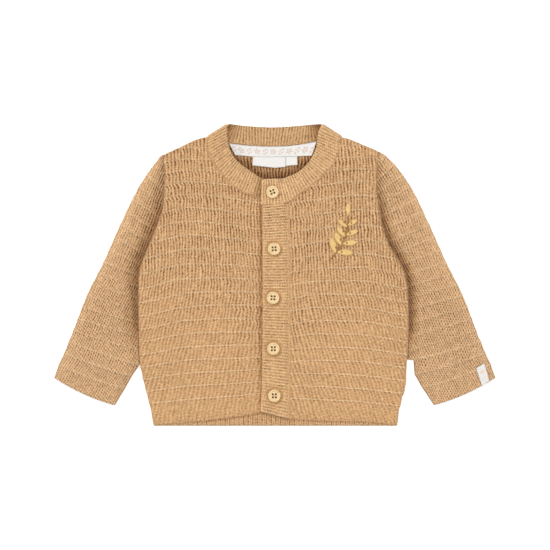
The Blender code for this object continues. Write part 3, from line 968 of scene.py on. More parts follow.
@dataclass(frozen=True)
class TapeFinish:
    """White woven tape, with ink where its strip has a print. Depth holds the print."""

    name: str
    white: Color = (0.840, 0.812, 0.780)
    ink: Color = (0.56, 0.26, 0.11)
    printed: float = 0.0

    def dress(self) -> Material:
        """Builds the material.

        Returns:
            The material.
        """
        g = Graph(self.name)
        _, u, v = g.map("Knit")
        place = g.place()
        weave = (u * (2 * math.pi)).apply("COSINE") * (v * (2 * math.pi)).apply("COSINE")
        weave = weave * 0.5 + 0.5
        dust = g.noise(place, 500.0)
        shade = g.attribute("Shade")
        color = g.mix(weave * 0.08, self.white, tuple(c * 0.86 for c in self.white))
        if self.printed:
            color = g.mix(g.attribute("Depth") * self.printed, color, self.ink)
        return g.finish(
            color * ((dust * 0.08 + 0.96) * shade), weave, 0.00008,
            {"Roughness": 0.7, "Sheen Weight": 0.1, "Specular IOR Level": 0.3},
        )


@dataclass(frozen=True)
class ButtonFinish:
    """Pale, cloudy button resin with a faint grain and a satin polish."""

    name: str
    pale: Color = (0.83, 0.62, 0.33)
    warm: Color = (0.70, 0.48, 0.23)

    def dress(self) -> Material:
        """Builds the material.

        Returns:
            The material.
        """
        g = Graph(self.name)
        place = g.place()
        cloud = g.noise(place, 260.0, 3.0)
        grain = g.noise(place * (1.0, 6.0, 1.0), 500.0)
        color = g.mix((cloud * 0.7 + grain * 0.5).between(0.45, 0.85), self.pale, self.warm)
        rough = cloud * 0.15 + 0.28
        g.feed(g.shader.inputs["Roughness"], rough)
        return g.finish(color, grain, 0.00005, {"Specular IOR Level": 0.5})


@dataclass(frozen=True)
class FloorFinish:
    """A plain pale surface."""

    name: str
    white: Color = (0.97, 0.97, 0.97)

    def dress(self) -> Material:
        """Builds the material.

        Returns:
            The material.
        """
        g = Graph(self.name)
        speck = g.noise(g.place(), 40.0)
        return g.finish(
            (speck * 0.01 + 0.995) * self.white, speck, 0.00002,
            {"Roughness": 0.9, "Specular IOR Level": 0.1,
             "Emission Color": (1.0, 1.0, 1.0), "Emission Strength": 0.28},
        )


# ---- fronts and back

class Wearer(Enum):
    """A side of the garment, named as its wearer would."""

    RIGHT = -1
    LEFT = 1


@dataclass(frozen=True)
class Side:
    """What differs between the wearer's left and right.

    A front that runs on under the button band ends at the offset `under_band`, which is 0 for
    the front that stops beside it.
    """

    wearer: Wearer
    outline: Sequence[EdgeRow]
    courses: Sequence[Course]
    sleeve: Sequence[SleeveRow]
    band: Sequence[BandRow]
    under_band: float
    flat_width: float
    flat_rise: float
    seam_shadow: float
    seam_shadow_strength: float

    @property
    def sign(self) -> int:
        """1 on the wearer's left, -1 on the right."""
        return self.wearer.value

    @property
    def label(self) -> str:
        """The side's name in lower case."""
        return self.wearer.name.lower()


RIGHT = Side(
    Wearer.RIGHT, RIGHT_SIDE, RIGHT_COURSES,
    (*RIGHT_CUFF, *SLEEVE, *RIGHT_SHOULDER), RIGHT_BAND,
    under_band=9.5, flat_width=3.8, flat_rise=0.2, seam_shadow=14.0, seam_shadow_strength=0.50,
)
LEFT = Side(
    Wearer.LEFT, LEFT_SIDE, LEFT_COURSES,
    (*LEFT_CUFF, *SLEEVE, *LEFT_SHOULDER), LEFT_BAND,
    under_band=0.0, flat_width=1.5, flat_rise=0.6, seam_shadow=9.0, seam_shadow_strength=0.62,
)


@dataclass(frozen=True)
class CordKnit:
    """The knit of the body and sleeves: upright cords in tiers, with a raised welt over each."""

    pitches: Sequence[tuple[float, float]]
    relief: float = 0.50
    hook: float = 0.45
    hook_start: float = 0.72
    middle: float = 0.0
    fan: float = 0.0
    leans: Sequence[tuple[float, float]] = ((0.0, 0.0), (1.0, 0.0))
    welt_width: float = 0.075
    welt_rise: float = 0.65
    rows: Sequence[float] = (-0.13, -0.07, -0.03, 0.0, 0.03, 0.07, 0.13, 0.24, 0.35, 0.46,
                             0.57, 0.68, 0.78)

    def courses(self, first: float, last: float) -> Points:
        """Chooses the rows of points, closest together at each welt.

        Args:
            first: The welt, whole or part, at one end of the cloth.
            last: The one at its other end.

        Returns:
            The welt, whole or part, of each row.
        """
        rows = [welt + row for welt in range(math.floor(first), math.ceil(last) + 1)
                for row in self.rows]
        inside = [row for row in rows if first + 0.05 < row < last - 0.05]
        return np.array([first, first + 0.03, *inside, last])

    def cords(self, across: Points, welt: Points, sign: int = 1) -> Points:
        """Counts the cords across the cloth. They bend sideways where they meet a welt.

        Args:
            across: Distances across the cloth, in millimetres.
            welt: The welt, whole or part, at each point.
            sign: -1 where the distances grow towards the wearer's right.

        Returns:
            The number of cords, whole at each crest.
        """
        tier = np.floor(welt)
        lean = tier + step(self.hook_start, 1.0, welt - tier)
        pitch = smooth(*zip(*self.pitches), lean)
        # Towards the hem the cords fan out, as the cloth widens.
        below = 8.5 - welt
        spread = self.fan * 0.5 * (below + np.sqrt(below * below + 1.0))
        sway = (0.10 * np.sin(1.9 * welt + 0.13 * across) + 0.12 * np.sin(0.21 * across - 0.6 * welt)
                + 0.07 * np.sin(0.55 * across + 3.1 * welt)
                + 0.06 * np.sin(4.7 * welt - 0.37 * across + 1.3))
        slant = sign * self.hook * lean + smooth(*zip(*self.leans), welt) - spread
        return (across - self.middle) / pitch + slant + sway

    def welt(self, welt: Points, spread: float = 1.0) -> Points:
        """The share of its rise that a welt has at each point, or a broader swelling round it."""
        ridge = np.exp(-(((welt - np.round(welt)) / self.welt_width / spread) ** 2))
        return ridge * (welt > -0.5) * (welt < TOP_WELT + 0.5)

    def uneven(self, welt: Points) -> Points:
        """How far a free edge stands out at each height: a little more where a welt ends in it."""
        return 0.5 * self.welt(welt, 2.0) + 0.22 * drift(welt * WELT_PITCH, 0.0 * welt, 5.2) - 0.1

    def height(self, cords: Points, depth: Points) -> Points:
        """How far the cords' grooves go in, in millimetres, 0 on a crest."""
        return -self.relief * depth * ripple(cords)


def neckband_seam(side: Side) -> Points:
    """The neckband's sewn edge on one side, moved out to where the front ends.

    Args:
        side: The side of the garment.

    Returns:
        (offset, height) points at falling heights.
    """
    band = Band(side.band, NECK_PITCH)
    seam = band.read(np.arange(2 * band.ribs + 1) / 2).seam
    seam = seam[np.argsort(-seam[:, 1])]
    run = np.gradient(seam, axis=0)
    outwards = unit(np.stack([-run[:, 1], run[:, 0]], axis=1))
    return seam + SEAM_CLEARANCE * outwards


def band_edge(side: Side, height: Points) -> Points:
    """Where a front ends: straight under the button band, or beside its sewn edge.

    Args:
        side: The front's side of the garment.
        height: Heights along it.

    Returns:
        Offsets.
    """
    seam = smooth([-row.seam_y for row in BUTTON_BAND], column(BUTTON_BAND, "seam_x"), -height)
    if side.under_band:
        return np.full_like(height, side.under_band)
    return seam + SEAM_CLEARANCE / 2


@dataclass
class Body:
    """The two fronts."""

    cord: CordKnit = field(default_factory=lambda: CordKnit(
        pitches=((HEM_WELT, 3.7), (1.4, 3.6), (4.5, 3.35), (8.1, 2.98), (11.0, 2.76), (13.0, 2.74),
                 (15.0, 2.88), (17.0, 3.05), (20.0, 3.05)),
        hook=0.25, hook_start=0.62, middle=58.0, fan=0.85))
    across: int = 170
    armpit: float = 3.3
    top: float = TOP_WELT + 0.85
    least_width: float = 1.5
    depths: Sequence[tuple[float, float]] = (
        (HEM_WELT, 0.10), (0.0, 0.16), (4.0, 0.26), (6.5, 0.38), (9.0, 0.55), (11.5, 0.70),
        (19.0, 0.72))
    patches: float = 0.30
    deepest: float = 1.25
    roll: float = 2.4
    seam_valley: float = 1.5
    hem_drop: float = 1.2
    swell: float = 0.35
    band_shadow: float = 0.30
    band_shadow_reach: float = 7.4
    band_shadow_top: float = 64.0

    def span(self, side: Side) -> tuple[Points, Points, Points]:
        """Lays out the rows of one front along its welts.

        Args:
            side: The front's side of the garment.

        Returns:
            The welt of each row, and columns of its offsets beside the band and at its far end.
        """
        welt = self.cord.courses(HEM_WELT, self.top)
        seam = neckband_seam(side)

        def inner_edge(height: Points) -> Points:
            """Where the front starts, beside the neckband or the button band."""
            offset = np.interp(-height, -seam[:, 1], seam[:, 0])
            return np.maximum(offset, band_edge(side, height))

        def outer_edge(height: Points) -> Points:
            """Where it ends, at the side, the armhole or the shoulder."""
            return edge_offset(side.outline, height)

        inner = meet(side.courses, welt, inner_edge)
        outer = meet(side.courses, welt, outer_edge)
        wide = (outer - inner)[:, 0] > self.least_width
        welt, inner, outer = welt[wide], inner[wide], outer[wide]
        free = fade(self.armpit - 0.6, self.armpit, welt)
        return welt, inner, outer + (free * self.cord.uneven(welt))[:, None]

    def front_face(self, side: Side) -> Patch:
        """The outer face of one front: rows along the welts, columns from the band outwards.

        Args:
            side: The front's side of the garment.

        Returns:
            The face.
        """
        welt, inner, outer = self.span(side)
        share = shares(self.across)
        share = share - 0.06 * np.sin(2 * math.pi * share) / (2 * math.pi)
        offset = inner + (outer - inner) * share
        height = course_height(side.courses, welt, offset)
        level = np.broadcast_to(welt[:, None], offset.shape)
        cords = self.cord.cords(offset, level, side.sign)
        near, far = offset - inner, outer - offset
        up = (level - HEM_WELT) * WELT_PITCH
        strong = smooth(*zip(*self.depths), level)
        # In the lower part the cords stand out beside the band and flatten further away.
        strong = strong * (1 + 0.5 * fade(6.0, 9.0, level) * fade(5.0, 40.0, near))
        patchy = 1.0 + self.patches * drift(offset, height, 46.0, side.sign)
        depth = strong * patchy * step(-0.5, 3.5, far) * step(-1.0, 2.5, near)
        depth = np.clip(depth, 0.0, self.deepest)
        grain = 0.85 + 0.1 * step(4.0, 10.0, level)
        flat = (1 - side.flat_rise) * fade(0, side.flat_width, near)
        jagged = level + 0.015 * np.cos(2 * math.pi * cords)
        rise = self.cord.welt(jagged) * (1 - flat) * (0.35 + 0.65 * step(0.0, 5.0, far))
        # The armhole's seam is a valley, which fades out towards the shoulder.
        valley = self.seam_valley * (1 - 0.7 * step(12.5, 16.5, level) * fade(17.8, 18.8, level))
        rolled = fade(-0.6, self.roll, far) * valley + fade(-0.5, 2.0, up) * self.hem_drop
        swell = self.swell * (1 + drift(offset, height, 74.0, 2.0 + side.sign)) * step(4.0, 16.0, near)
        z = FRONT_TOP + swell * step(0, 14, far) - rolled + self.cord.welt_rise * rise
        z = z + self.cord.height(cords, depth)
        points = grid(side.sign * offset, height, z)
        knit = grid(-side.sign * cords, level)
        # Painted shade: the front a touch darker all over, and darker along its outer edge, the
        # armhole's seam, above welt 8.
        shade = 0.982 - 0.08 * fade(0.0, 3.0, far) * (level > 8)
        if side.wearer is Wearer.RIGHT:
            # The button band throws a soft, uneven shadow on this front.
            reach = self.band_shadow_reach + 0.9 * drift(height, 0 * height, 13.0)
            below = height < self.band_shadow_top
            shade = shade - self.band_shadow * fade(reach - 5.0, reach, near) * below
        return Patch(points, knit, depth, grain, shade)

    def front(self, side: Side, material: Material) -> None:
        """Builds one front.

        Args:
            side: Its side of the garment.
            material: Its finish.
        """
        top = self.front_face(side)
        rows, columns = (every(n, pitch) for n, pitch in zip(top.depth.shape, (6, 8)))
        cloth = Cloth(f"knit_front_{side.label}")
        cloth.wall(top, top.part(rows, columns).at_height(FRONT_FLOOR))
        piece = settle(cloth.build(material), [f"front_{side.label}"])
        cut_from(piece, 115.0, 265.0, rests_on=["back"])


@dataclass
class Back:
    """The back panel, its inner face up. It shows inside the neck and along the hem."""

    hem_pitch: float = 4.2
    cord_pitch: float = 2.9
    columns: int = 260
    hem_height: float = 14.0
    shoulder: float = 111.3
    corners: tuple[float, float] = (-62.6, 62.4)
    corner_height: float = 123.9
    neck_opening: Sequence[tuple[float, float]] = (
        (0.0, 86.5), (12.0, 88.0), (31.0, 101.0), (43.0, 120.0), (62.0, 126.0))
    relief: float = 0.42
    edge_drop: float = 0.7
    neck_shade: float = 0.79
    front_shadow: float = 0.34

    def top_edge(self, x: Points) -> Points:
        """The back's top edge: the shoulders, and the neck between them.

        Args:
            x: Places across.

        Returns:
            The edge's height at each of them.
        """
        inner_x = [self.corners[0], *column(BACK_BAND[1:-1], "seam_x"), self.corners[1]]
        inner_y = [y - 0.5 for y in column(BACK_BAND[1:-1], "seam_y")]
        neck = np.interp(x, inner_x, [self.corner_height, *inner_y, self.corner_height])
        heights = np.linspace(self.corner_height, self.shoulder, 40)
        right = np.interp(-x, edge_offset(RIGHT_SIDE, heights), heights)
        left = np.interp(x, edge_offset(LEFT_SIDE, heights), heights)
        return np.where(x < self.corners[0], right, np.where(x > self.corners[1], left, neck))

    def plan(self) -> tuple[Points, Points]:
        """The places of the back's points: rows from the hem up, columns from right to left.

        Returns:
            Their places across, and their heights.
        """
        share = shares(self.columns)
        body = np.concatenate([
            np.linspace(HEM, -118.0, 16), np.linspace(-112.0, 84.0, 40),
        ])[:, None]
        low, high = -edge_offset(RIGHT_SIDE, body), edge_offset(LEFT_SIDE, body)
        x = low + (high - low) * share
        y = np.broadcast_to(body, x.shape)
        # Above the last full row the columns fan in to the shoulders' ends.
        right_end = -float(edge_offset(RIGHT_SIDE, self.shoulder))
        left_end = float(edge_offset(LEFT_SIDE, self.shoulder))
        x_last = right_end + (left_end - right_end) * share
        y_last = self.top_edge(x_last)
        y_last[0] = y_last[-1] = self.shoulder
        up = shares(44)[1:, None]
        y_more = y[-1] + (y_last - y[-1]) * up
        side_low = -edge_offset(RIGHT_SIDE, y_more[:, :1])
        side_high = edge_offset(LEFT_SIDE, y_more[:, -1:])
        straight = x[-1] + (x_last - x[-1]) * up
        shift_low = (side_low - straight[:, :1]) * (1 - share) ** 6
        shift_high = (side_high - straight[:, -1:]) * share ** 6
        x_more = straight + shift_low + shift_high
        return np.concatenate([x, x_more]), np.concatenate([y, y_more])

    def faces(self) -> tuple[Patch, Patch]:
        """The two faces of the wall.

        Returns:
            The inner face, which looks up, and the outer one, which lies on the surface.
        """
        x, y = self.plan()
        above_hem = y - HEM
        hem = fade(self.hem_height - 2, self.hem_height, above_hem)
        sway = 0.16 * np.sin(0.42 * y + 0.2 * x) + 0.2 * np.sin(0.11 * x)
        # On the hem every other groove is a deep one.
        pairs = x / self.hem_pitch
        cords = np.where(hem > 0.5, 2 * pairs, x / self.cord_pitch + sway)
        deep = ripple(pairs + 0.25)
        depth = np.where(hem > 0.5, 0.20 + 0.58 * deep, 1.2)
        depth = depth * step(0.0, 2.5, np.minimum(x - x[:, :1], x[:, -1:] - x))
        depth[-1] = 0.0
        groove = np.where(hem > 0.5, deep, ripple(cords))
        edge = fade(-0.5, 1.8, above_hem) * self.edge_drop
        inner = grid(x, y, WALL - self.relief * groove * depth - edge)
        in_neck = step(84.0, 92.0, y)
        front_edge = np.interp(np.abs(x), *zip(*self.neck_opening))
        shadow = self.neck_shade - self.front_shadow * fade(0.0, 10.0, y - front_edge)
        shade = np.where(in_neck > 0, shadow, 1.0)
        knit = grid(cords, above_hem / WELT_PITCH)
        top = Patch(inner, knit, depth, np.ones_like(depth), shade)
        low = grid(x, y, np.zeros_like(x) + REST)
        bottom = Patch(low, knit, depth, np.ones_like(depth), np.ones_like(shade))
        return top, bottom

    def build(self, material: Material) -> None:
        """Builds the back.

        Args:
            material: Its finish.
        """
        top, bottom = self.faces()
        cloth = Cloth("knit_back")
        rows, columns = (every(n, pitch) for n, pitch in zip(top.depth.shape, (1, 3)))
        cloth.wall(top, bottom.part(rows, columns))
        piece = settle(cloth.build(material), ["back"])
        cut_from(piece, 248.0, 262.0)


# ---- sleeves

@dataclass
class Sleeve:
    """A knitted tube pressed flat, its cuff open, with the welts running round it."""

    side: Side
    cord: CordKnit = field(default_factory=lambda: CordKnit(
        pitches=((-1.2, 2.1), (3.0, 2.13), (8.0, 2.15), (14.0, 2.42), (20.0, 2.45)),
        relief=0.36, hook=0.0, hook_start=0.0, welt_width=0.09, welt_rise=0.5,
        leans=((-1.2, 0.0), (1.0, -1.9), (3.0, -2.6), (9.0, -3.5), (13.0, -2.0), (20.0, 2.5))))
    top_columns: int = 120
    low_columns: int = 18
    fold_points: int = 7
    bow: float = 2.6
    clearance: float = 0.08
    full_width: float = 20.0
    edge_inset: float = 0.9
    fold_inset: float = 1.6
    fold_length: float = 6.0
    slit_inset: float = 2.6
    slit_points: int = 9
    dip: float = 0.7
    seam_valley: float = 1.15
    fullness: float = 0.45
    fold_drop: float = 1.0
    cuff_drop: float = 0.9
    swell: float = 0.3
    patches: float = 0.25

    def ends(self, welt: Points) -> tuple[Points, Points]:
        """Where each section starts and ends.

        Args:
            welt: The welt of each section.

        Returns:
            (offset, height) of the edge beside the body, and of the outer fold.
        """
        rows = self.side.sleeve
        welts = column(rows, "welt")
        outer = np.stack([smooth(welts, column(rows, n), welt)
                          for n in ("outer_offset", "outer_height")], axis=1)
        inner_height = smooth(welts, column(rows, "inner_height"), welt)
        free = np.interp(welt, welts, column(rows, "inner_offset"))
        beside = edge_offset(self.side.outline, inner_height) + self.clearance
        inner = np.stack([np.maximum(free, beside), inner_height], axis=1)
        uneven = 0.6 * self.cord.uneven(welt)[:, None]
        return inner, outer + uneven * unit(outer - inner)

    def cloth_area(self, welt: Points) -> float:
        """The area of the cloth, which lies double.

        Args:
            welt: The welt of each section.

        Returns:
            The area of both layers, in square metres.
        """
        inner, outer = self.ends(welt)
        loop = np.concatenate([inner, outer[::-1]])
        ahead = np.roll(loop, -1, axis=0)
        return abs(float(np.sum(loop[:, 0] * ahead[:, 1] - ahead[:, 0] * loop[:, 1]))) * MM * MM

    def plan(self, welt: Points, share: Points) -> tuple[Points, Points]:
        """Places of points in each section.

        Args:
            welt: The welt of each section.
            share: Rows of shares, from the body (0) to the outer fold (1).

        Returns:
            Their places across the garment, and their heights.
        """
        inner, outer = self.ends(welt)
        bow = self.bow * 4 * share * (1 - share) * smooth((CUFF_WELT, 4.0), (1.0, 0.0), welt)[:, None]
        place = inner[:, None] + (outer - inner)[:, None] * share[..., None]
        return self.side.sign * place[..., 0], place[..., 1] - bow

    def width(self, welt: Points) -> Points:
        """The width of each section, as a column."""
        inner, outer = self.ends(welt)
        return np.hypot(*(outer - inner).T)[:, None]

    def narrowing(self, width: Points) -> Points:
        """The share that is left of every inset, 1 except where a section is narrow."""
        return np.minimum(1.0, width / self.full_width)

    def top(self, welt: Points) -> tuple[Points, Points, Points, Points]:
        """The layer that looks up, from the edge beside the body to the outer fold.

        Args:
            welt: The welt of each section.

        Returns:
            For each point its distance from the body, its height, how deep the grooves are and
            how much light reaches it.
        """
        width = self.width(welt)
        inset = self.narrowing(width)
        dip = self.dip * smooth((0.0, 3.0, 12.0, 16.0), (0.0, 1.0, 1.0, 0.0), welt)[:, None]
        both = self.edge_inset + self.fold_inset
        share = shares(self.top_columns)[None, :]
        across = self.edge_inset * inset + (width - both * inset) * share
        out = width - across
        level = welt[:, None] + 0 * out
        rise_in = step(0.0, 7.0, across / inset) ** 0.8
        full = self.fullness * np.sin(math.pi * np.clip(across / width, 0, 1))
        valley = self.seam_valley * (1 - 0.75 * step(12.5, 16.5, level))
        base = FRONT_TOP - (valley + dip * 1.1) * (1 - rise_in)
        base = base + full - self.fold_drop * fade(0.6, 6.0, out / inset)
        rim = fade(-0.6, 2.0, (level - CUFF_WELT) * 12.0) * self.cuff_drop
        strong = smooth((CUFF_WELT, 0.0, 2.0, 8.0, 18.0), (0.18, 0.20, 0.28, 0.44, 0.62), level)
        patchy = drift(out, level * WELT_PITCH, 40.0, 3.0 * self.side.sign)
        patchy = 1.0 + self.patches * patchy
        close = np.exp(-2.0 * (across / self.side.seam_shadow) ** 2)
        depth = strong * patchy * (0.4 + 0.6 * step(2.0, 11.0, out)) * step(-1.0, 3.0, across)
        # Near the armhole the grooves go deeper, in the relief and in their painted shade.
        depth = depth * (1 + 1.2 * close * step(3.0, 6.0, level))
        rise = self.cord.welt(level) * (0.3 + 0.7 * step(0.5, 9.0, out))
        swell = self.swell * drift(out, level * WELT_PITCH, 60.0, 1.0)
        z = base + swell * step(3, 14, out) * step(3, 14, across) - rim
        z = z + self.cord.welt_rise * rise + self.cord.height(self.cord.cords(out, level), depth)
        # Painted shade lies along the armhole, and the shade is painted a little lighter at the folded
        # edge and the cuff.
        along = smooth((-1.0, 3.0, 5.0, 13.5, 16.5, 18.6), (0, 0.2, 1, 1, 0.4, 0.1), level[:, :1])
        darker = 1 - self.side.seam_shadow_strength * close * along
        pale = 1 + 0.05 * fade(2.0, 12.0, out) + 0.045 * fade(0.8, 3.0, welt[:, None])
        return across, z, depth, darker * pale

    def ring(self, welt: Points) -> Patch:
        """The outer face: the top from the body to the fold, round it and back underneath.

        Args:
            welt: The welt of each section.

        Returns:
            The face, each row of which goes round and meets itself.
        """
        width = self.width(welt)
        inset = self.narrowing(width)
        fold = self.fold_inset * inset
        across, z, depth, shade = self.top(welt)
        turn = shares(self.fold_points + 2)[None, 1:-1]
        under = shares(self.low_columns)[None, :]
        hollow = 1 - np.sin(math.pi * turn) ** 0.7
        low_x = width - fold - (width - 2 * fold) * under
        columns = np.concatenate([
            across, width - fold * hollow, low_x, self.edge_inset * inset * hollow,
        ], axis=1)
        fold_z = z[:, -1:] * (1 + np.cos(math.pi * turn)) / 2 + REST
        back_z = z[:, :1] * (1 - np.cos(math.pi * turn)) / 2 + REST
        heights = side_by_side(z, fold_z, np.full_like(low_x, REST), back_z)
        x, y = self.plan(welt, columns / width)
        level = welt[:, None] + 0 * columns
        # Round the fold and underneath, the cords are counted on along the cloth.
        arc, flat = self.fold_length * inset, width - 2 * fold
        counted = np.concatenate([
            width - across, fold - arc * turn, fold - arc - flat * under,
            fold - arc - flat - arc * turn,
        ], axis=1)
        knit = grid(self.cord.cords(counted, level), level)
        rest = ((0, 0), (0, columns.shape[1] - self.top_columns))
        shade = np.pad(shade, rest, constant_values=1.0)
        depth = np.pad(depth, rest, mode="edge")
        grain = 1.9 - 0.9 * step(2.0, 13.0, level)
        return Patch(grid(x, y, heights), knit, depth, grain, shade)

    def lining(self, welt: Points) -> Patch:
        """The inner face: a flat slit between the two layers.

        Args:
            welt: The welt of each section.

        Returns:
            The face, each row of which goes round and meets itself.
        """
        width = self.width(welt)
        inset = self.narrowing(width)
        middle = FRONT_FLOOR - GAP / 2
        near, far = self.slit_inset * inset, width - self.slit_inset * inset
        along = (far - near) * shares(self.slit_points)[None, :]
        top, low = near + along, far - along
        columns = side_by_side(top, far + 0.5 * inset, low, near - 0.5 * inset)
        heights = np.concatenate([
            0 * top + FRONT_FLOOR, 0 * width + middle, 0 * low + WALL, 0 * width + middle,
        ], axis=1)
        x, y = self.plan(welt, columns / width)
        flat = np.ones_like(columns)
        knit = grid(columns / 3.0, welt[:, None] + 0 * columns)
        # The slit between the layers is painted in shade.
        return Patch(grid(x, y, heights), knit, flat * 0.5, flat, flat * 0.7)

    def build(self, material: Material) -> None:
        """Builds the sleeve.

        Args:
            material: Its finish.
        """
        welt = self.cord.courses(CUFF_WELT, self.side.sleeve[-1].welt)
        cloth = Cloth(f"knit_sleeve_{self.side.label}")
        outer = cloth.lay(self.ring(welt), FACE_SPOT, closed=True)
        inner = cloth.lay(self.lining(welt[every(len(welt), 8)]), LINING_SPOT, closed=True)
        for i, end in enumerate((0, -1)):
            rim = np.append(outer[end], outer[end, 0])
            slit = np.append(inner[end], inner[end, 0])
            cloth.bridge(rim, slit, rim_spot(i))
        piece = settle(cloth.build(material), [f"sleeve_{self.side.label}"])
        cut_from(piece, 146.0, 232.0, area=self.cloth_area(welt))


# ---- ribbed bands

class Stretch(NamedTuple):
    """Sections of the neckband, with what its finish reads at each of them."""

    points: Points
    count: Points
    shade: Points
    depth: Points


class NeckPlace(Enum):
    """Where the neckband lies flat."""

    RIGHT_FRONT = "right front"
    BACK = "back"
    LEFT_FRONT = "left front"


@dataclass
class Neckband:
    """The ribbed band round the neck, in one piece, turned over at both shoulders."""

    per_rib: int = 8
    top_points: int = 15
    low_points: int = 9
    end_rounding: float = 2.6
    turn_inset: float = 1.8
    turn_steps: int = 18
    turn_ribs: float = 1.5
    back_pitch: float = 2.68
    back_skip: float = 1.0
    rib_rise: float = 0.55
    front_depth: float = 0.70
    back_depth: float = 0.88

    def profile(self) -> tuple[Points, Points, Points]:
        """The outline of one section.

        Returns:
            For each point its share from the sewn edge to the free one, its side of the wall, 1
            outside and -1 inside, and the share of the ribs' rise.
        """
        top = shares(self.top_points)
        low = np.linspace(1, 0, self.low_points)
        round_off = 1 - 0.35 * fade(0, 0.08, top) - 0.55 * fade(0, 0.09, 1 - top)
        share = np.concatenate([top, [1.012], low, [-0.004]])
        out = np.concatenate([round_off, [0.0], -np.ones(self.low_points), [0.0]])
        ribs = np.concatenate([
            step(0.0, 0.10, top) * step(0.0, 0.06, 1 - top), [0.2],
            -0.7 * step(0.0, 0.1, low) * step(0, 0.05, 1 - low), [0.0],
        ])
        return share, out, ribs

    def rings(self, line: Line, rib: Points, angle: Points, outward: Points) -> Points:
        """The points of many sections.

        Args:
            line: The band's edges and floor at each section.
            rib: The rib count of each, whole in each groove.
            angle: How far the band has turned over, from 0 on the fronts to pi on the back.
            outward: The direction of the fold, zero where the band lies flat.

        Returns:
            Sections of points.
        """
        share, out, ribs = self.profile()
        crest = ripple(rib) ** 0.8
        off = out[None, :] * WALL / 2
        rise = ribs[None, :] * crest[:, None] * self.rib_rise
        # Underneath, the ribs are grooves in the wall rather than ridges on it.
        off = off + np.where(ribs >= 0, rise, 0.5 * -ribs[None, :] * (1 - crest[:, None]))
        folding = np.hypot(*outward.T) > 0
        radius = (FRONT_FLOOR + WALL) / 4
        level = np.where(
            folding, (FRONT_FLOOR + WALL) / 2 + radius * np.cos(angle), line.floor + WALL / 2
        )
        reach = np.where(folding, radius, 0.0)[:, None] + off
        place = line.seam[:, None] + (line.free - line.seam)[:, None] * share[None, :, None]
        place = place + outward[:, None] * (reach * np.sin(angle)[:, None])[..., None]
        # The ribs that lie on the table are pressed flat.
        z = np.maximum(level[:, None] + off * np.cos(angle)[:, None], REST)
        return np.concatenate([place, z[..., None]], axis=-1)

    def rounded(self, line: Line) -> Line:
        """Pulls in the free edge of the last stations, which rounds the band's end.

        Args:
            line: The band read up to its end.

        Returns:
            The line with its round end.
        """
        left = np.hypot(*(line.free - line.free[-1]).T)
        near = np.clip(1 - left / self.end_rounding, 0, 1)
        pull = self.end_rounding * (1 - np.sqrt(1 - near ** 2))
        inwards = unit(line.seam - line.free)
        return Line(line.free + inwards * pull[:, None], line.seam, line.floor)

    def lie(self, place: NeckPlace, band: Band, span: Sequence[float], start: float) -> Stretch:
        """Lays a flat stretch.

        Args:
            place: Where it lies.
            band: Its stations.
            span: Its first rib and its last one.
            start: The rib count of the whole band at its first section.

        Returns:
            Its sections.
        """
        first, last = span
        rib = np.linspace(first, last, round((last - first) * self.per_rib) + 1)
        line = band.read(rib)
        angle, depth = 0.0, self.front_depth
        if place is NeckPlace.BACK:
            angle, depth = math.pi, self.back_depth
            # Painted shade: the back of the band lies inside the neck and darkens further towards both
            # folded corners.
            shade = 0.93 - 0.39 * fade(0.5, 7.5, rib - first) - 0.53 * fade(1.0, 9.0, last - rib)
        elif place is NeckPlace.RIGHT_FRONT:
            # The end of the band that lies on top throws a soft shadow on this one.
            shade = 1.0 - 0.30 * fade(11.5, 17.0, -line.free[:, 0])
        else:
            line = self.rounded(line)
            # The end that lies on top is painted a little lighter, most towards its tip.
            shade = 1.04 + 0.05 * fade(8.0, 24.0, line.free[:, 0])
        count = start + rib - first
        turned = np.full(len(rib), angle)
        points = self.rings(line, count, turned, np.zeros((len(rib), 2)))
        return Stretch(points, count, shade, np.full(len(rib), depth))

    def fold(self, band: Band, at: float, side: Wearer, turn: Sequence[float],
             start: float) -> Stretch:
        """Turns the band over at a shoulder.

        Args:
            band: The stations beside the fold.
            at: The rib at which it folds.
            side: The shoulder.
            turn: How far the band has turned over before the fold and after it.
            start: The rib count of the whole band where the fold starts.

        Returns:
            Its sections.
        """
        line = band.read(np.array([at]))
        along = (line.free - line.seam)[0]
        along /= np.hypot(*along)
        outward = np.array([side.value * abs(along[1]), abs(along[0])])
        angle = np.linspace(*turn, self.turn_steps)[1:-1]
        n = len(angle)
        free, seam = (np.repeat(edge - self.turn_inset * outward, n, axis=0)
                      for edge in (line.free, line.seam))
        moved = Line(free, seam, np.repeat(line.floor, n))
        count = start + np.linspace(0, self.turn_ribs, n + 2)[1:-1]
        points = self.rings(moved, count, angle, np.repeat([outward], n, axis=0))
        return Stretch(points, count, np.ones(n), np.full(n, self.front_depth))

    def stretches(self) -> list[Stretch]:
        """Lays the whole band, from its right end round the back to its left end.

        Returns:
            Its stretches in order.
        """
        right = Band(RIGHT_BAND, NECK_PITCH, mirror=-1)
        behind = Band(BACK_BAND, self.back_pitch)
        left = Band(LEFT_BAND, NECK_PITCH)
        start = self.lie(NeckPlace.RIGHT_FRONT, right, (0.0, right.ribs - 0.5), 0.0)
        count = start.count[-1]
        over = self.fold(right, right.ribs, Wearer.RIGHT, (0.0, math.pi), count)
        span = (self.back_skip, behind.ribs - self.back_skip)
        back = self.lie(NeckPlace.BACK, behind, span, count + self.turn_ribs)
        count = back.count[-1]
        under = self.fold(left, 0.0, Wearer.LEFT, (math.pi, 0.0), count)
        end = self.lie(NeckPlace.LEFT_FRONT, left, (0.5, left.ribs), count + self.turn_ribs)
        return [start, over, back, under, end]

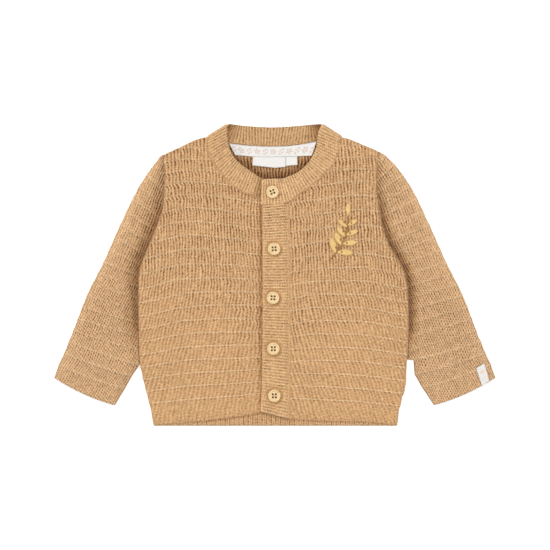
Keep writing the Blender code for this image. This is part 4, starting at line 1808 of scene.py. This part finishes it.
    def build(self, material: Material, button: "Button") -> None:
        """Builds the neckband, with the top button's shadow painted round it on the band's end.

        Args:
            material: Its finish.
            button: The top button.
        """
        points, count, shade, depth = (np.concatenate(part) for part in zip(*self.stretches()))
        rib = count[:, None] + 0.5 + 0 * points[..., 0]
        share, _, _ = self.profile()
        knit = grid(rib, share[None, :] * 2.0 + 0 * rib)
        depth = depth[:, None] * step(-0.04, 0.08, share)
        shade = shade[:, None] * button.shadow(points[..., 0], points[..., 1], 0.10)
        cloth = Cloth("rib_neckband")
        patch = Patch(points, knit, depth, np.ones_like(rib), shade)
        index = cloth.lay(patch, Spot(0.0, 0.04, 1.0, 0.96), closed=True)
        half = points.shape[1] // 2
        for i, end in enumerate((0, -1)):
            ring = index[end]
            cloth.bridge(ring[:half], ring[half:][::-1], rim_spot(i))
        piece = settle(cloth.build(material), ["neckband"])
        cut_from(piece, 20.0, 355.0)


@dataclass
class Placket:
    """The buttonhole band with ribs across it, and the plain band under it."""

    pitch: float = 2.6
    per_rib: int = 8
    columns: int = 34
    step_share: float = 0.24
    crowding: float = 0.07
    sink: float = 0.35
    crease: float = 0.35
    under_x: Sequence[float] = (-8.9, 7.4)
    under_y: Sequence[float] = (-122.0, 62.4)
    under_rows: int = 289
    under_columns: int = 10
    under_relief: float = 0.25

    def top_face(self, band: Band, buttons: Sequence["Button"]) -> Patch:
        """The ribbed face: rows across the band, columns from the sewn edge to the free one.

        Args:
            band: The button band's stations.
            buttons: The buttons, which press it in and throw painted shadows on it.

        Returns:
            The face.
        """
        rib = np.linspace(0, band.ribs, band.ribs * self.per_rib + 1)
        line = band.read(rib)
        share = shares(self.columns)[None, :]
        place = line.seam[:, None] + (line.free - line.seam)[:, None] * share[..., None]
        x, y = place[..., 0], place[..., 1]
        down = rib[:, None] / band.ribs
        count = rib[:, None] + band.ribs * self.crowding * down * (1 - down) + 0 * x
        amount = step(0.02, 0.10, share) * step(0.0, 0.05, 1 - share) + 0 * x
        sink = np.zeros_like(x)
        for button in buttons:
            near = np.hypot((x - button.x) / 1.25, y - button.y)
            amount = amount * (0.12 + 0.88 * step(5.5, 10.5, near))
            sink = sink + self.sink * np.exp(-((near / 7.0) ** 2))
        # A few creases pull away from the lowest button.
        low = buttons[-1]
        angle = np.arctan2(y - low.y, x - low.x)
        away = np.hypot(x - low.x, y - low.y)
        creases = np.cos(7 * angle + 0.6) * np.exp(-(((away - 9.5) / 3.0) ** 2)) * (x > low.x)
        crest = ripple(count)
        level = FRONT_TOP - 0.2 + (BAND_TOP - FRONT_TOP + 0.2) * step(0.0, self.step_share, share)
        level = level - 0.75 * fade(0.0, 0.06, 1 - share)
        level = level - 0.25 * fade(-0.4, 1.6, rib[:, None] * self.pitch)
        level = level - 0.6 * fade(-0.4, 1.6, (band.ribs - rib)[:, None] * self.pitch)
        z = level + RIB_RISE * amount * crest - sink + self.crease * creases
        knit = grid(count + 0.5, share * 2.2 + 0 * x)
        shade = math.prod(button.shadow(x, y, 0.22) for button in buttons)
        # Painted light makes the band a little lighter, most at its top.
        shade = shade * (1.065 - 0.045 * step(0.1, 0.45, down))
        depth = (0.95 - 0.25 * step(0.0, 0.35, down)) * amount
        return Patch(grid(x, y, z), knit, depth, np.ones_like(x), shade)

    def build(self, material: Material, buttons: Sequence["Button"]) -> None:
        """Builds both bands.

        Args:
            material: Their finish.
            buttons: The buttons on them.
        """
        band = Band(BUTTON_BAND, self.pitch)
        top = self.top_face(band, buttons)
        rows = every(top.depth.shape[0], 6)
        columns = np.array([0, round(self.step_share * (self.columns - 1)), 20, self.columns - 1])
        under = top.part(rows, columns)
        under.points[..., 2] = BAND_FLOOR
        under.points[:, 0, 2] = FRONT_FLOOR
        cloth = Cloth("rib_button_band")
        cloth.wall(top, under)
        piece = settle(cloth.build(material), ["button_band"])
        cut_from(piece, 28.0, 192.0)
        self.build_under(material)

    def build_under(self, material: Material) -> None:
        """Builds the band that the buttons are sewn to.

        Args:
            material: Its finish.
        """
        low, high = self.under_x
        y = np.linspace(*self.under_y, self.under_rows)[:, None]
        x = np.linspace(low, high, self.under_columns)[None, :] + 0 * y
        count = (y - self.under_y[0]) / self.pitch + 0 * x
        edge = 0.2 * (np.abs(x - (low + high) / 2) > (high - low) / 2 - 0.2)
        z = FRONT_TOP - self.under_relief * (0.5 + 0.5 * np.cos(2 * math.pi * count)) - edge
        knit = grid(count + 0.5, x / WELT_PITCH)
        plain = np.ones_like(x)
        # The band under the placket is painted in slight shade.
        top = Patch(grid(x, y + 0 * x, z), knit, plain, plain, plain * 0.9)
        rows, columns = every(self.under_rows, 24), every(self.under_columns, 9)
        cloth = Cloth("rib_under_band")
        cloth.wall(top, top.part(rows, columns).at_height(FRONT_FLOOR))
        piece = settle(cloth.build(material), ["under_band"])
        cut_from(piece, 17.0, 186.0)


# ---- thread

@dataclass
class Threads:
    """Short lengths of thread gathered into one piece. The radius is half their thickness."""

    name: str
    radius: float
    sides: int = 6
    runs: list[tuple[Points, float]] = field(default_factory=list)

    def add(self, points: Points, radius: float | None = None, shade: float = 1.0) -> None:
        """Adds one length of thread along these points, tapered at both ends.

        Args:
            points: Its centreline, in millimetres.
            radius: Half its thickness, where it differs from the others'.
            shade: How much light reaches it.
        """
        points = np.asarray(points, float)
        n = len(points)
        along = np.gradient(points, axis=0)
        along /= np.linalg.norm(along, axis=1)[:, None]
        upright = abs(along[0, 2]) > 0.9
        side = np.cross(along, (0.0, 1.0, 0.0) if upright else (0.0, 0.0, 1.0))
        side /= np.maximum(np.linalg.norm(side, axis=1), 1e-6)[:, None]
        up = np.cross(side, along)
        taper = np.sqrt(np.clip(1 - np.abs(np.linspace(-1, 1, n)) ** 6, 0.05, 1))
        angle = np.linspace(0, 2 * math.pi, self.sides, endpoint=False)
        cos, sin = np.cos(angle)[None, :, None], np.sin(angle)[None, :, None]
        ring = cos * side[:, None] + sin * up[:, None]
        thick = (radius or self.radius) * taper
        self.runs.append((points[:, None] + ring * thick[:, None, None], shade))

    def build(self, material: Material) -> Object:
        """Turns all the lengths into one mesh, each on its own place of the baking map.

        Args:
            material: The thread's finish.

        Returns:
            The object.
        """
        cloth = Cloth(self.name)
        rows = math.ceil(math.sqrt(len(self.runs)))
        cell = 1.0 / rows
        half = self.sides // 2
        for i, (run, shade) in enumerate(self.runs):
            flat = np.ones(run.shape[:2])
            knit = grid(flat, flat)
            spot = Spot((i % rows) * cell, (i // rows) * cell, cell * 0.8, cell * 0.8)
            index = cloth.lay(Patch(run, knit, flat, flat, flat * shade), spot, closed=True)
            for k, end in enumerate((0, -1)):
                ring = index[end]
                cap = Spot(spot.u, spot.v + cell * (0.84 + 0.07 * k), cell * 0.8, cell * 0.05)
                cloth.bridge(ring[:half], ring[half:][::-1], cap)
        return cloth.build(material)


# ---- buttons

# Where a button's four holes are, in halves of their spacing.
HOLES = ((1, 1), (-1, 1), (-1, -1), (1, -1))


@dataclass
class Button:
    """A round button with a raised rim, a dished face and four sewing holes."""

    number: int
    x: float
    y: float
    turn: float
    diameter: float = 11.5
    thickness: float = 2.2
    hole: float = 2.0
    spacing: float = 2.75
    segments: int = 64
    hole_sides: int = 20
    face_drop: float = 0.55

    @property
    def floor(self) -> float:
        """The height of the button's back."""
        return BAND_TOP + RIB_RISE + GAP

    def outline(self) -> Points:
        """(radius, height) from the middle of the back, over the rim, to the middle of the face."""
        r, t = self.diameter / 2, self.thickness
        return np.array([
            (0.02, 0.0), (r - 1.2, 0.0), (r - 0.6, 0.08), (r - 0.15, 0.45), (r, 0.95),
            (r - 0.03, t - 0.55), (r - 0.22, t - 0.18), (r - 0.55, t - 0.02), (r - 0.95, t),
            (r - 1.3, t - 0.10), (r - 1.6, t - 0.38), (r - 2.0, t - 0.58), (r - 3.2, t - 0.62),
            (0.02, t - self.face_drop),
        ])

    def disc(self) -> Object:
        """Makes the button without its holes, by turning its outline.

        Returns:
            The object.
        """
        mesh = bmesh.new()
        angles = np.linspace(0, 2 * math.pi, self.segments, endpoint=False)
        rings = [[mesh.verts.new((r * math.cos(a) * MM, r * math.sin(a) * MM, z * MM))
                  for a in angles] for r, z in self.outline()]
        for low, high in zip(rings, rings[1:]):
            for i in range(self.segments):
                j = (i + 1) % self.segments
                mesh.faces.new((low[i], low[j], high[j], high[i]))
        mesh.faces.new(rings[0])
        mesh.faces.new(rings[-1])
        bmesh.ops.recalc_face_normals(mesh, faces=mesh.faces)
        return from_work(f"shell_button_{self.number}", mesh)

    def drills(self) -> Object:
        """Makes the four rods that bore the holes.

        Returns:
            One object with all of them.
        """
        work = bmesh.new()
        radius, half = self.hole / 2 * MM, self.spacing / 2
        for sx, sy in HOLES:
            made = bmesh.ops.create_cone(
                work, cap_ends=True, segments=self.hole_sides, radius1=radius, radius2=radius,
                depth=2 * self.thickness * MM)
            place = (sx * half * MM, sy * half * MM, self.thickness / 2 * MM)
            bmesh.ops.translate(work, verts=made["verts"], vec=place)
        return from_work("drill", work)

    def build(self, material: Material) -> None:
        """Builds the button and puts it in its place.

        Args:
            material: Its finish.
        """
        disc, cutter = self.disc(), self.drills()
        cut = disc.modifiers.new("holes", "BOOLEAN")
        cut.operation = "DIFFERENCE"
        cut.solver = "EXACT"
        cut.object = cutter
        bpy.context.view_layer.update()
        graph = bpy.context.evaluated_depsgraph_get()
        bored = bpy.data.meshes.new_from_object(disc.evaluated_get(graph))
        disc.modifiers.clear()
        disc.data = bored
        bpy.data.objects.remove(cutter)
        bored.materials.clear()
        bored.materials.append(material)
        turn = math.radians(self.turn)
        cos, sin = math.cos(turn), math.sin(turn)
        for vertex in bored.vertices:
            x, y, z = vertex.co
            vertex.co = (x * cos - y * sin + self.x * MM, x * sin + y * cos + self.y * MM,
                         z + self.floor * MM)
        for polygon in bored.polygons:
            polygon.use_smooth = len(polygon.vertices) == 4 and abs(polygon.normal.z) < 0.999
        settle(disc, [f"button_{self.number}"])

    def shadow(self, x: Points, y: Points, strength: float) -> Points:
        """How much light reaches the cloth round the button, 1 away from it."""
        near = np.hypot(x - self.x, y - self.y)
        return 1 - strength * fade(7.0, 9.6, near)

    def sew(self, threads: Threads) -> None:
        """Adds the thread that holds the button: a cross between the holes, and down each one.

        Args:
            threads: The piece that gathers the thread.
        """
        turn = math.radians(self.turn)
        cos, sin = math.cos(turn), math.sin(turn)
        face = self.floor + self.thickness - self.face_drop
        half = self.spacing / 2

        def run(x: Points, y: Points, z: Points, **looks: float) -> None:
            """Adds a length of thread, turned and moved with the button."""
            place = [self.x + x * cos - y * sin, self.y + x * sin + y * cos, z]
            threads.add(np.stack(place, axis=1), **looks)

        t = np.linspace(-1, 1, 9)
        for slope, lift in ((1, 0.10), (-1, 0.30)):
            reach = 0.62 * half * t
            run(reach, slope * reach, face + lift * (1 - t ** 2) - 1.2 * np.abs(t) ** 8 + 0.1)
        # The thread down each hole is painted in deep shade, standing in for the hole's shadow.
        for x, y in HOLES:
            down = np.linspace(self.floor, face - self.face_drop, 5)
            run(0 * down + x * half, 0 * down + y * half, down,
                radius=self.hole / 2 - 0.05, shade=0.22)


# ---- tape and labels

@dataclass
class Strip:
    """A sewn-on strip of woven tape between two edges."""

    name: str
    node: str
    edges: tuple[Sequence[tuple[float, float]], Sequence[tuple[float, float]]]
    floor: float
    flat: tuple[float, float]
    lift: float = 0.0
    shadow: float = 0.0
    thickness: float = 0.6
    thread: float = 0.42
    fineness: float = 3.4

    def plan(self, rows: int, columns: int) -> Points:
        """Places between the two edges.

        Args:
            rows: How many rows, from the upper edge down.
            columns: How many places in each row.

        Returns:
            (x, y) places.
        """
        t = shares(columns)
        curves = []
        for edge in self.edges:
            at = np.array(edge, float)
            along = distance_along(at)
            along /= along[-1]
            curves.append(np.stack([np.interp(t, along, at[:, k]) for k in (0, 1)], axis=1))
        down = shares(rows)[:, None, None]
        return curves[0][None] * (1 - down) + curves[1][None] * down

    def pattern(self, across: Points, down: Points) -> Points:
        """Where the print is, from 0 to 1: nowhere on a plain strip."""
        return np.zeros_like(across)

    def build(self, material: Material) -> None:
        """Builds the strip.

        Args:
            material: Its finish.
        """
        width, height = self.flat
        rows = max(12, round(height * self.fineness))
        columns = max(24, round(width * self.fineness))
        place = self.plan(rows, columns)
        x, y = place[..., 0], place[..., 1]
        down = shares(rows)[:, None] + 0 * x
        t = shares(columns)[None, :] + 0 * x
        curl = self.lift * down ** 2 * (0.6 + 0.4 * np.sin(3.1 * t + 0.8))
        rim = np.minimum(np.minimum(down, 1 - down) * height, np.minimum(t, 1 - t) * width)
        z = self.floor + self.thickness + curl - 0.2 * fade(-0.2, 0.8, rim)
        knit = grid(t * width / self.thread, down * height / self.thread)
        ink = self.pattern((t - 0.5) * width, (0.5 - down) * height)
        # Painted shade: the rim is a little darker, and the first end darker by `shadow`.
        shade = 1 - 0.06 * fade(0.3, 1.0, rim) - self.shadow * fade(2.0, 16.0, t * width)
        top = Patch(grid(x, y, z), knit, ink, np.ones_like(x), shade)
        bottom = top.part(every(rows, 6), every(columns, 9))
        lifted = bottom.points[..., 2] - self.floor - self.thickness
        bottom.points[..., 2] = self.floor + lifted.clip(0)
        cloth = Cloth(self.name)
        cloth.wall(top, bottom)
        piece = settle(cloth.build(material), [self.node])
        wide, high = max(width, LEAST_SIDE), max(height, LEAST_SIDE)
        cut_from(piece, wide, high, area=width * height * MM * MM)


@dataclass
class PrintedTape(Strip):
    """The tape over the neck seam, printed with a generic row of small blossoms and vines."""

    spacing: float = 15.0

    def pattern(self, across: Points, down: Points) -> Points:
        """Outlined blossoms of five petals, with a bent vine and two leaves between each two.

        Args:
            across: Places along the tape, from its middle.
            down: Places across it.

        Returns:
            Shares of ink.
        """
        cell = across / self.spacing
        x = (cell - np.round(cell)) * self.spacing
        angle, away = np.arctan2(down, x), np.hypot(x, down)
        petals = 1.9 + 0.7 * np.cos(5 * angle + np.round(cell))
        blossom = np.maximum(fade(0.2, 0.6, np.abs(away - petals)), fade(0.3, 0.7, away))
        gap = (cell - 0.5 - np.round(cell - 0.5)) * self.spacing
        vine = fade(0.2, 0.6, np.abs(down + 1.3 * np.sin(1.5 * gap)))
        vine = vine * fade(2.4, 2.9, np.abs(gap))
        leaf = np.hypot((np.abs(gap) - 1.3) / 1.1, (down - 2.3 * np.sign(gap)) / 0.6)
        return np.clip(blossom + vine + 1 - step(0.7, 1.2, leaf), 0, 1)


@dataclass
class PrintedLabel(Strip):
    """The tab on the cuff, printed with one generic blossom over three dots."""

    def pattern(self, across: Points, down: Points) -> Points:
        """A blossom of five petals in the upper half and a row of dots in the lower one.

        Args:
            across: Places across the tab, from its middle.
            down: Places along it.

        Returns:
            Shares of ink.
        """
        angle, away = np.arctan2(down - 2.6, across), np.hypot(across, down - 2.6)
        blossom = fade(-0.3, 0.3, away - 1.6 - 0.7 * np.cos(5 * angle + 1.2))
        dot = (np.abs(across) < 3.6) * (across - 2.2 * np.round(across / 2.2))
        dots = fade(0.4, 0.8, np.hypot(dot, down + 3.4))
        return np.clip(blossom * step(0.4, 0.8, away) + dots * (np.abs(across) < 3.3), 0, 1)


# ---- embroidery

@dataclass
class Sprig:
    """A generic embroidered sprig on the chest: leaves and berries on a bent stem."""

    foot: tuple[float, float] = (50.5, 14.0)
    tip: tuple[float, float] = (66.5, 54.0)
    bend: float = 5.0
    leaf_length: float = 14.5
    leaf_width: float = 7.2
    pairs: int = 4
    height: float = FRONT_TOP + 1.05
    stitch: float = 0.62
    spread: float = 0.95
    berry_radius: float = 1.25

    def stem(self, t: Points) -> Points:
        """Follows the stem.

        Args:
            t: Shares of its length, from its foot (0) to its tip (1).

        Returns:
            (x, y) places.
        """
        foot, tip = np.array(self.foot), np.array(self.tip)
        along = tip - foot
        side = np.array([along[1], -along[0]]) / np.hypot(*along)
        t = np.asarray(t, float)[..., None]
        return foot + along * t + side * self.bend * np.sin(math.pi * t)

    def leaf(self, threads: Threads, root: Points, angle: float, scale: float) -> None:
        """Lays the satin stitches of one leaf across its midrib.

        Args:
            threads: The piece that gathers them.
            root: Where the leaf leaves the stem.
            angle: The direction in which it points.
            scale: Its size beside the largest one's.
        """
        count = round(self.leaf_length * scale / self.stitch)
        direction = np.array([math.cos(angle), math.sin(angle)])
        side = np.array([-direction[1], direction[0]])
        for i in range(count):
            t = (i + 0.5) / count
            half = self.leaf_width * scale / 2 * math.sin(math.pi * t) ** 0.75
            middle = root + direction * self.leaf_length * scale * t
            slant = direction * 0.9 * half
            s = np.linspace(-1, 1, 5)
            flat = middle + s[:, None] * side * half - np.abs(s)[:, None] * slant * -0.6
            z = self.height + 0.55 * (1 - s ** 2) * min(1.0, half) - 0.15
            threads.add(side_by_side(flat, z[:, None]))

    def build(self, leaf_material: Material, berry_material: Material) -> None:
        """Builds the sprig in two colours of thread.

        Args:
            leaf_material: The finish of the leaves.
            berry_material: The finish of the stem and the berries.
        """
        leaves = Threads("sprig_leaves", 0.36)
        berries = Threads("sprig_stem", 0.40)
        t = shares(26)
        for shift in (-0.3, 0.3):
            flat = self.stem(t) + (shift, 0.0)
            z = np.full((len(t), 1), self.height + 0.1)
            berries.add(side_by_side(flat, z))
        for i in range(self.pairs):
            at = 0.16 + 0.2 * i
            root = self.stem(at)
            ahead = self.stem(at + 0.05) - root
            heading = math.atan2(ahead[1], ahead[0])
            scale = 1.0 - 0.1 * i
            self.leaf(leaves, root, heading + self.spread, scale)
            self.leaf(leaves, root + ahead * 0.8, heading - self.spread, scale)
            for side in (1, -1):
                place = root + ahead * 2.0 + side * np.array([-ahead[1], ahead[0]]) * 1.5
                self.berry(berries, place, self.berry_radius)
        end = self.stem(1.0)
        ahead = end - self.stem(0.95)
        self.leaf(leaves, end, math.atan2(ahead[1], ahead[0]), 0.75)
        for threads, material in ((leaves, leaf_material), (berries, berry_material)):
            settle(threads.build(material))

    def berry(self, threads: Threads, place: Points, radius: float) -> None:
        """Lays the parallel stitches of one round berry.

        Args:
            threads: The piece that gathers them.
            place: The berry's middle.
            radius: Half its width.
        """
        for offset in np.arange(-radius + 0.3, radius, 0.55):
            half = math.sqrt(max(radius ** 2 - offset ** 2, 0.1))
            s = np.linspace(-1, 1, 5)
            z = self.height + 0.5 * (1 - s ** 2) * half - 0.05
            threads.add(np.stack([place[0] + s * half, place[1] + offset + 0 * s, z], axis=1))


# ---- seams

@dataclass
class Seams:
    """The linked stitches along the neckband and the button band."""

    spacing: float = 2.6
    samples: int = 200

    def chain(self, threads: Threads, path: Points, height: Points, inward: Points) -> None:
        """A row of V-shaped links along a path.

        Args:
            threads: The piece that gathers the links.
            path: Places along the seam, closely spaced.
            height: The seam's height at each place.
            inward: The direction across the seam at each place.
        """
        along = distance_along(path)
        for at in np.arange(0.5, along[-1] - 0.5, self.spacing):
            here, ahead = (
                np.array([np.interp(a, along, path[:, k]) for k in (0, 1)]) for a in (at, at + 1.9)
            )
            across = np.array([np.interp(at, along, inward[:, k]) for k in (0, 1)])
            z = float(np.interp(at, along, height))
            for side in (-0.55, 0.55):
                t = shares(4)[:, None]
                flat = here + across * side * 1.3 * (1 - t) + (ahead - here) * t
                lift = z + 0.25 * np.sin(math.pi * t)
                threads.add(side_by_side(flat, lift))

    def build(self, material: Material) -> None:
        """Builds the linked seams.

        Args:
            material: The thread's finish.
        """
        threads = Threads("seam_links", 0.34, sides=5)
        # Where the two ends of the neckband overlap, its seam is hidden.
        for band, mirror, skipped in ((RIGHT_BAND, -1, (5, 0)), (LEFT_BAND, 1, (0, 6))):
            laid = Band(band, NECK_PITCH, mirror=mirror)
            start, stop = skipped[0], laid.ribs - skipped[1]
            line = laid.read(np.linspace(start, stop, self.samples))
            across = unit(line.seam - line.free)
            path = line.seam + across * 0.15
            self.chain(threads, path, np.full(self.samples, FRONT_TOP - 0.05), across)
        placket = Band(BUTTON_BAND, self.spacing)
        edge = placket.read(np.linspace(0, placket.ribs, self.samples))
        across = np.tile([1.0, 0.0], (self.samples, 1))
        level = np.full(self.samples, FRONT_TOP - 0.12)
        self.chain(threads, edge.seam + (0.3, 0.0), level, across)
        settle(threads.build(material))


# ---- studio

class Lamp(NamedTuple):
    """A square soft light that faces the garment. Place and size are in metres."""

    name: str
    place: tuple[float, float, float]
    size: float
    power: float

    def hang(self) -> None:
        """Hangs the lamp."""
        light = bpy.data.lights.new(self.name, "AREA")
        light.shape = "SQUARE"
        light.size = self.size
        light.energy = self.power
        lamp = linked(self.name, light)
        lamp.location = self.place
        x, y, z = self.place
        tilt = math.atan2(math.hypot(x, y), z)
        lamp.rotation_euler = (tilt, 0.0, math.atan2(y, x) + math.pi / 2)


@dataclass
class Studio:
    """A plain white floor, soft light and a camera straight above, all in metres."""

    distance: float = 3.0
    aside: tuple[float, float] = (0.0002, -0.0001)
    view_width: float = 0.5005
    sensor: float = 36.0
    floor_half: float = 4.0
    floor_height: float = -0.0003
    sky: float = 0.42
    lamps: Sequence[Lamp] = (
        Lamp("overhead", (0.0, 0.0, 3.6), 3.2, 60.0),
        Lamp("window", (-1.5, 1.3, 1.7), 0.9, 26.0),
        Lamp("fill", (1.6, -0.6, 1.6), 1.2, 9.0),
    )

    def floor(self) -> None:
        """Lays the floor."""
        mesh = bmesh.new()
        bmesh.ops.create_grid(mesh, x_segments=8, y_segments=8, size=self.floor_half)
        floor = from_work("floor", mesh)
        floor.location.z = self.floor_height
        floor.data.materials.append(FloorFinish("floor").dress())

    def camera(self) -> None:
        """Puts the camera above the garment, with the photograph's field of view."""
        camera = bpy.data.cameras.new("camera")
        camera.sensor_width = self.sensor
        camera.lens = self.sensor * self.distance / self.view_width
        camera.clip_end = 20.0
        eye = linked("camera", camera)
        eye.location = (*self.aside, self.distance)
        bpy.context.scene.camera = eye

    def build(self) -> None:
        """Sets the floor, the camera and the light."""
        self.floor()
        self.camera()
        for lamp in self.lamps:
            lamp.hang()
        world = bpy.data.worlds.new("studio")
        world.use_nodes = True
        sky = world.node_tree.nodes["Background"].inputs
        sky["Color"].default_value = (1, 1, 1, 1)
        sky["Strength"].default_value = self.sky
        bpy.context.scene.world = world
        bpy.context.scene.view_settings.view_transform = "Standard"


BUTTONS = (
    Button(1, -2.1, 75.3, 22.0),
    Button(2, -0.6, 23.7, 4.0),
    Button(3, -1.6, -20.8, -3.0),
    Button(4, -1.3, -67.0, 0.0),
    Button(5, -0.4, -109.7, 2.0),
)


def main() -> None:
    """Builds and dresses every piece in turn."""
    logging.basicConfig(level=logging.INFO, format="%(name)s: %(message)s")
    knit = YarnFinish(
        "cord_knit", slip=0.31, welt_light=0.92, welt_shadow=0.7, welt_half=0.075
    ).dress()
    sleeve_knits = {
        side: YarnFinish(
            f"sleeve_knit_{side.label}", yarn=(0.700, 0.428, 0.222), stitches=stitches,
            cuff_stitches=6.2 - stitches, slip=slip, dot_strength=0.38, crest_strength=0.48,
            wander=0.16, uneven=0.5, welt_light=0.55, welt_half=0.10,
        ).dress()
        for side, stitches, slip in ((RIGHT, 4.7, 0.42), (LEFT, 4.2, 0.70))
    }
    inside = YarnFinish("inside_knit", yarn=(0.650, 0.385, 0.185), narrow=1.0,
                        crest_strength=0.50).dress()
    rib = YarnFinish(
        "rib_knit", yarn=(0.738, 0.449, 0.216), groove=(0.225, 0.100, 0.033),
        raised=(0.870, 0.610, 0.350), narrow=1.8, stitches=5.0, groove_strength=0.72,
        crest_strength=0.58, dot_strength=0.36,
    ).dress()
    yarn_thread = ThreadFinish("seam_thread", (0.69, 0.44, 0.23)).dress()
    Back().build(inside)
    body = Body()
    for side in (RIGHT, LEFT):
        body.front(side, knit)
        Sleeve(side).build(sleeve_knits[side])
    Neckband().build(rib, BUTTONS[0])
    Placket().build(rib, BUTTONS)
    Seams().build(yarn_thread)
    resin = ButtonFinish("button_resin").dress()
    sewing = Threads("button_thread", 0.22)
    for button in BUTTONS:
        button.build(resin)
        button.sew(sewing)
    settle(sewing.build(ThreadFinish("button_thread", (0.74, 0.53, 0.31)).dress()))
    plain = TapeFinish("woven_label").dress()
    printed = TapeFinish("printed_tape", printed=0.70).dress()
    badge = TapeFinish("printed_label", ink=(0.82, 0.48, 0.28), printed=0.65).dress()
    on_back = WALL + GAP
    on_cuff = FRONT_TOP + WELT_RISE + GAP
    for strip, finish in (
        (PrintedTape("tape_neck", "neck_tape", TAPE_EDGES, on_back, (77.0, 10.5), shadow=0.14), printed),
        (Strip("label_neck", "neck_label", NECK_LABEL_EDGES, on_back, (30.0, 8.5), lift=0.5), plain),
        (Strip("label_size", "size_label", SIZE_LABEL_EDGES, on_back, (10.3, 7.6), lift=0.4), plain),
        (PrintedLabel("label_cuff", "cuff_label", CUFF_LABEL_EDGES, on_cuff, (8.6, 17.0)), badge),
    ):
        strip.build(finish)
    Sprig().build(
        ThreadFinish("sprig_yellow", (0.84, 0.60, 0.25)).dress(),
        ThreadFinish("sprig_brown", (0.43, 0.21, 0.06)).dress(),
    )
    Studio().build()


if __name__ == "__main__":
    main()
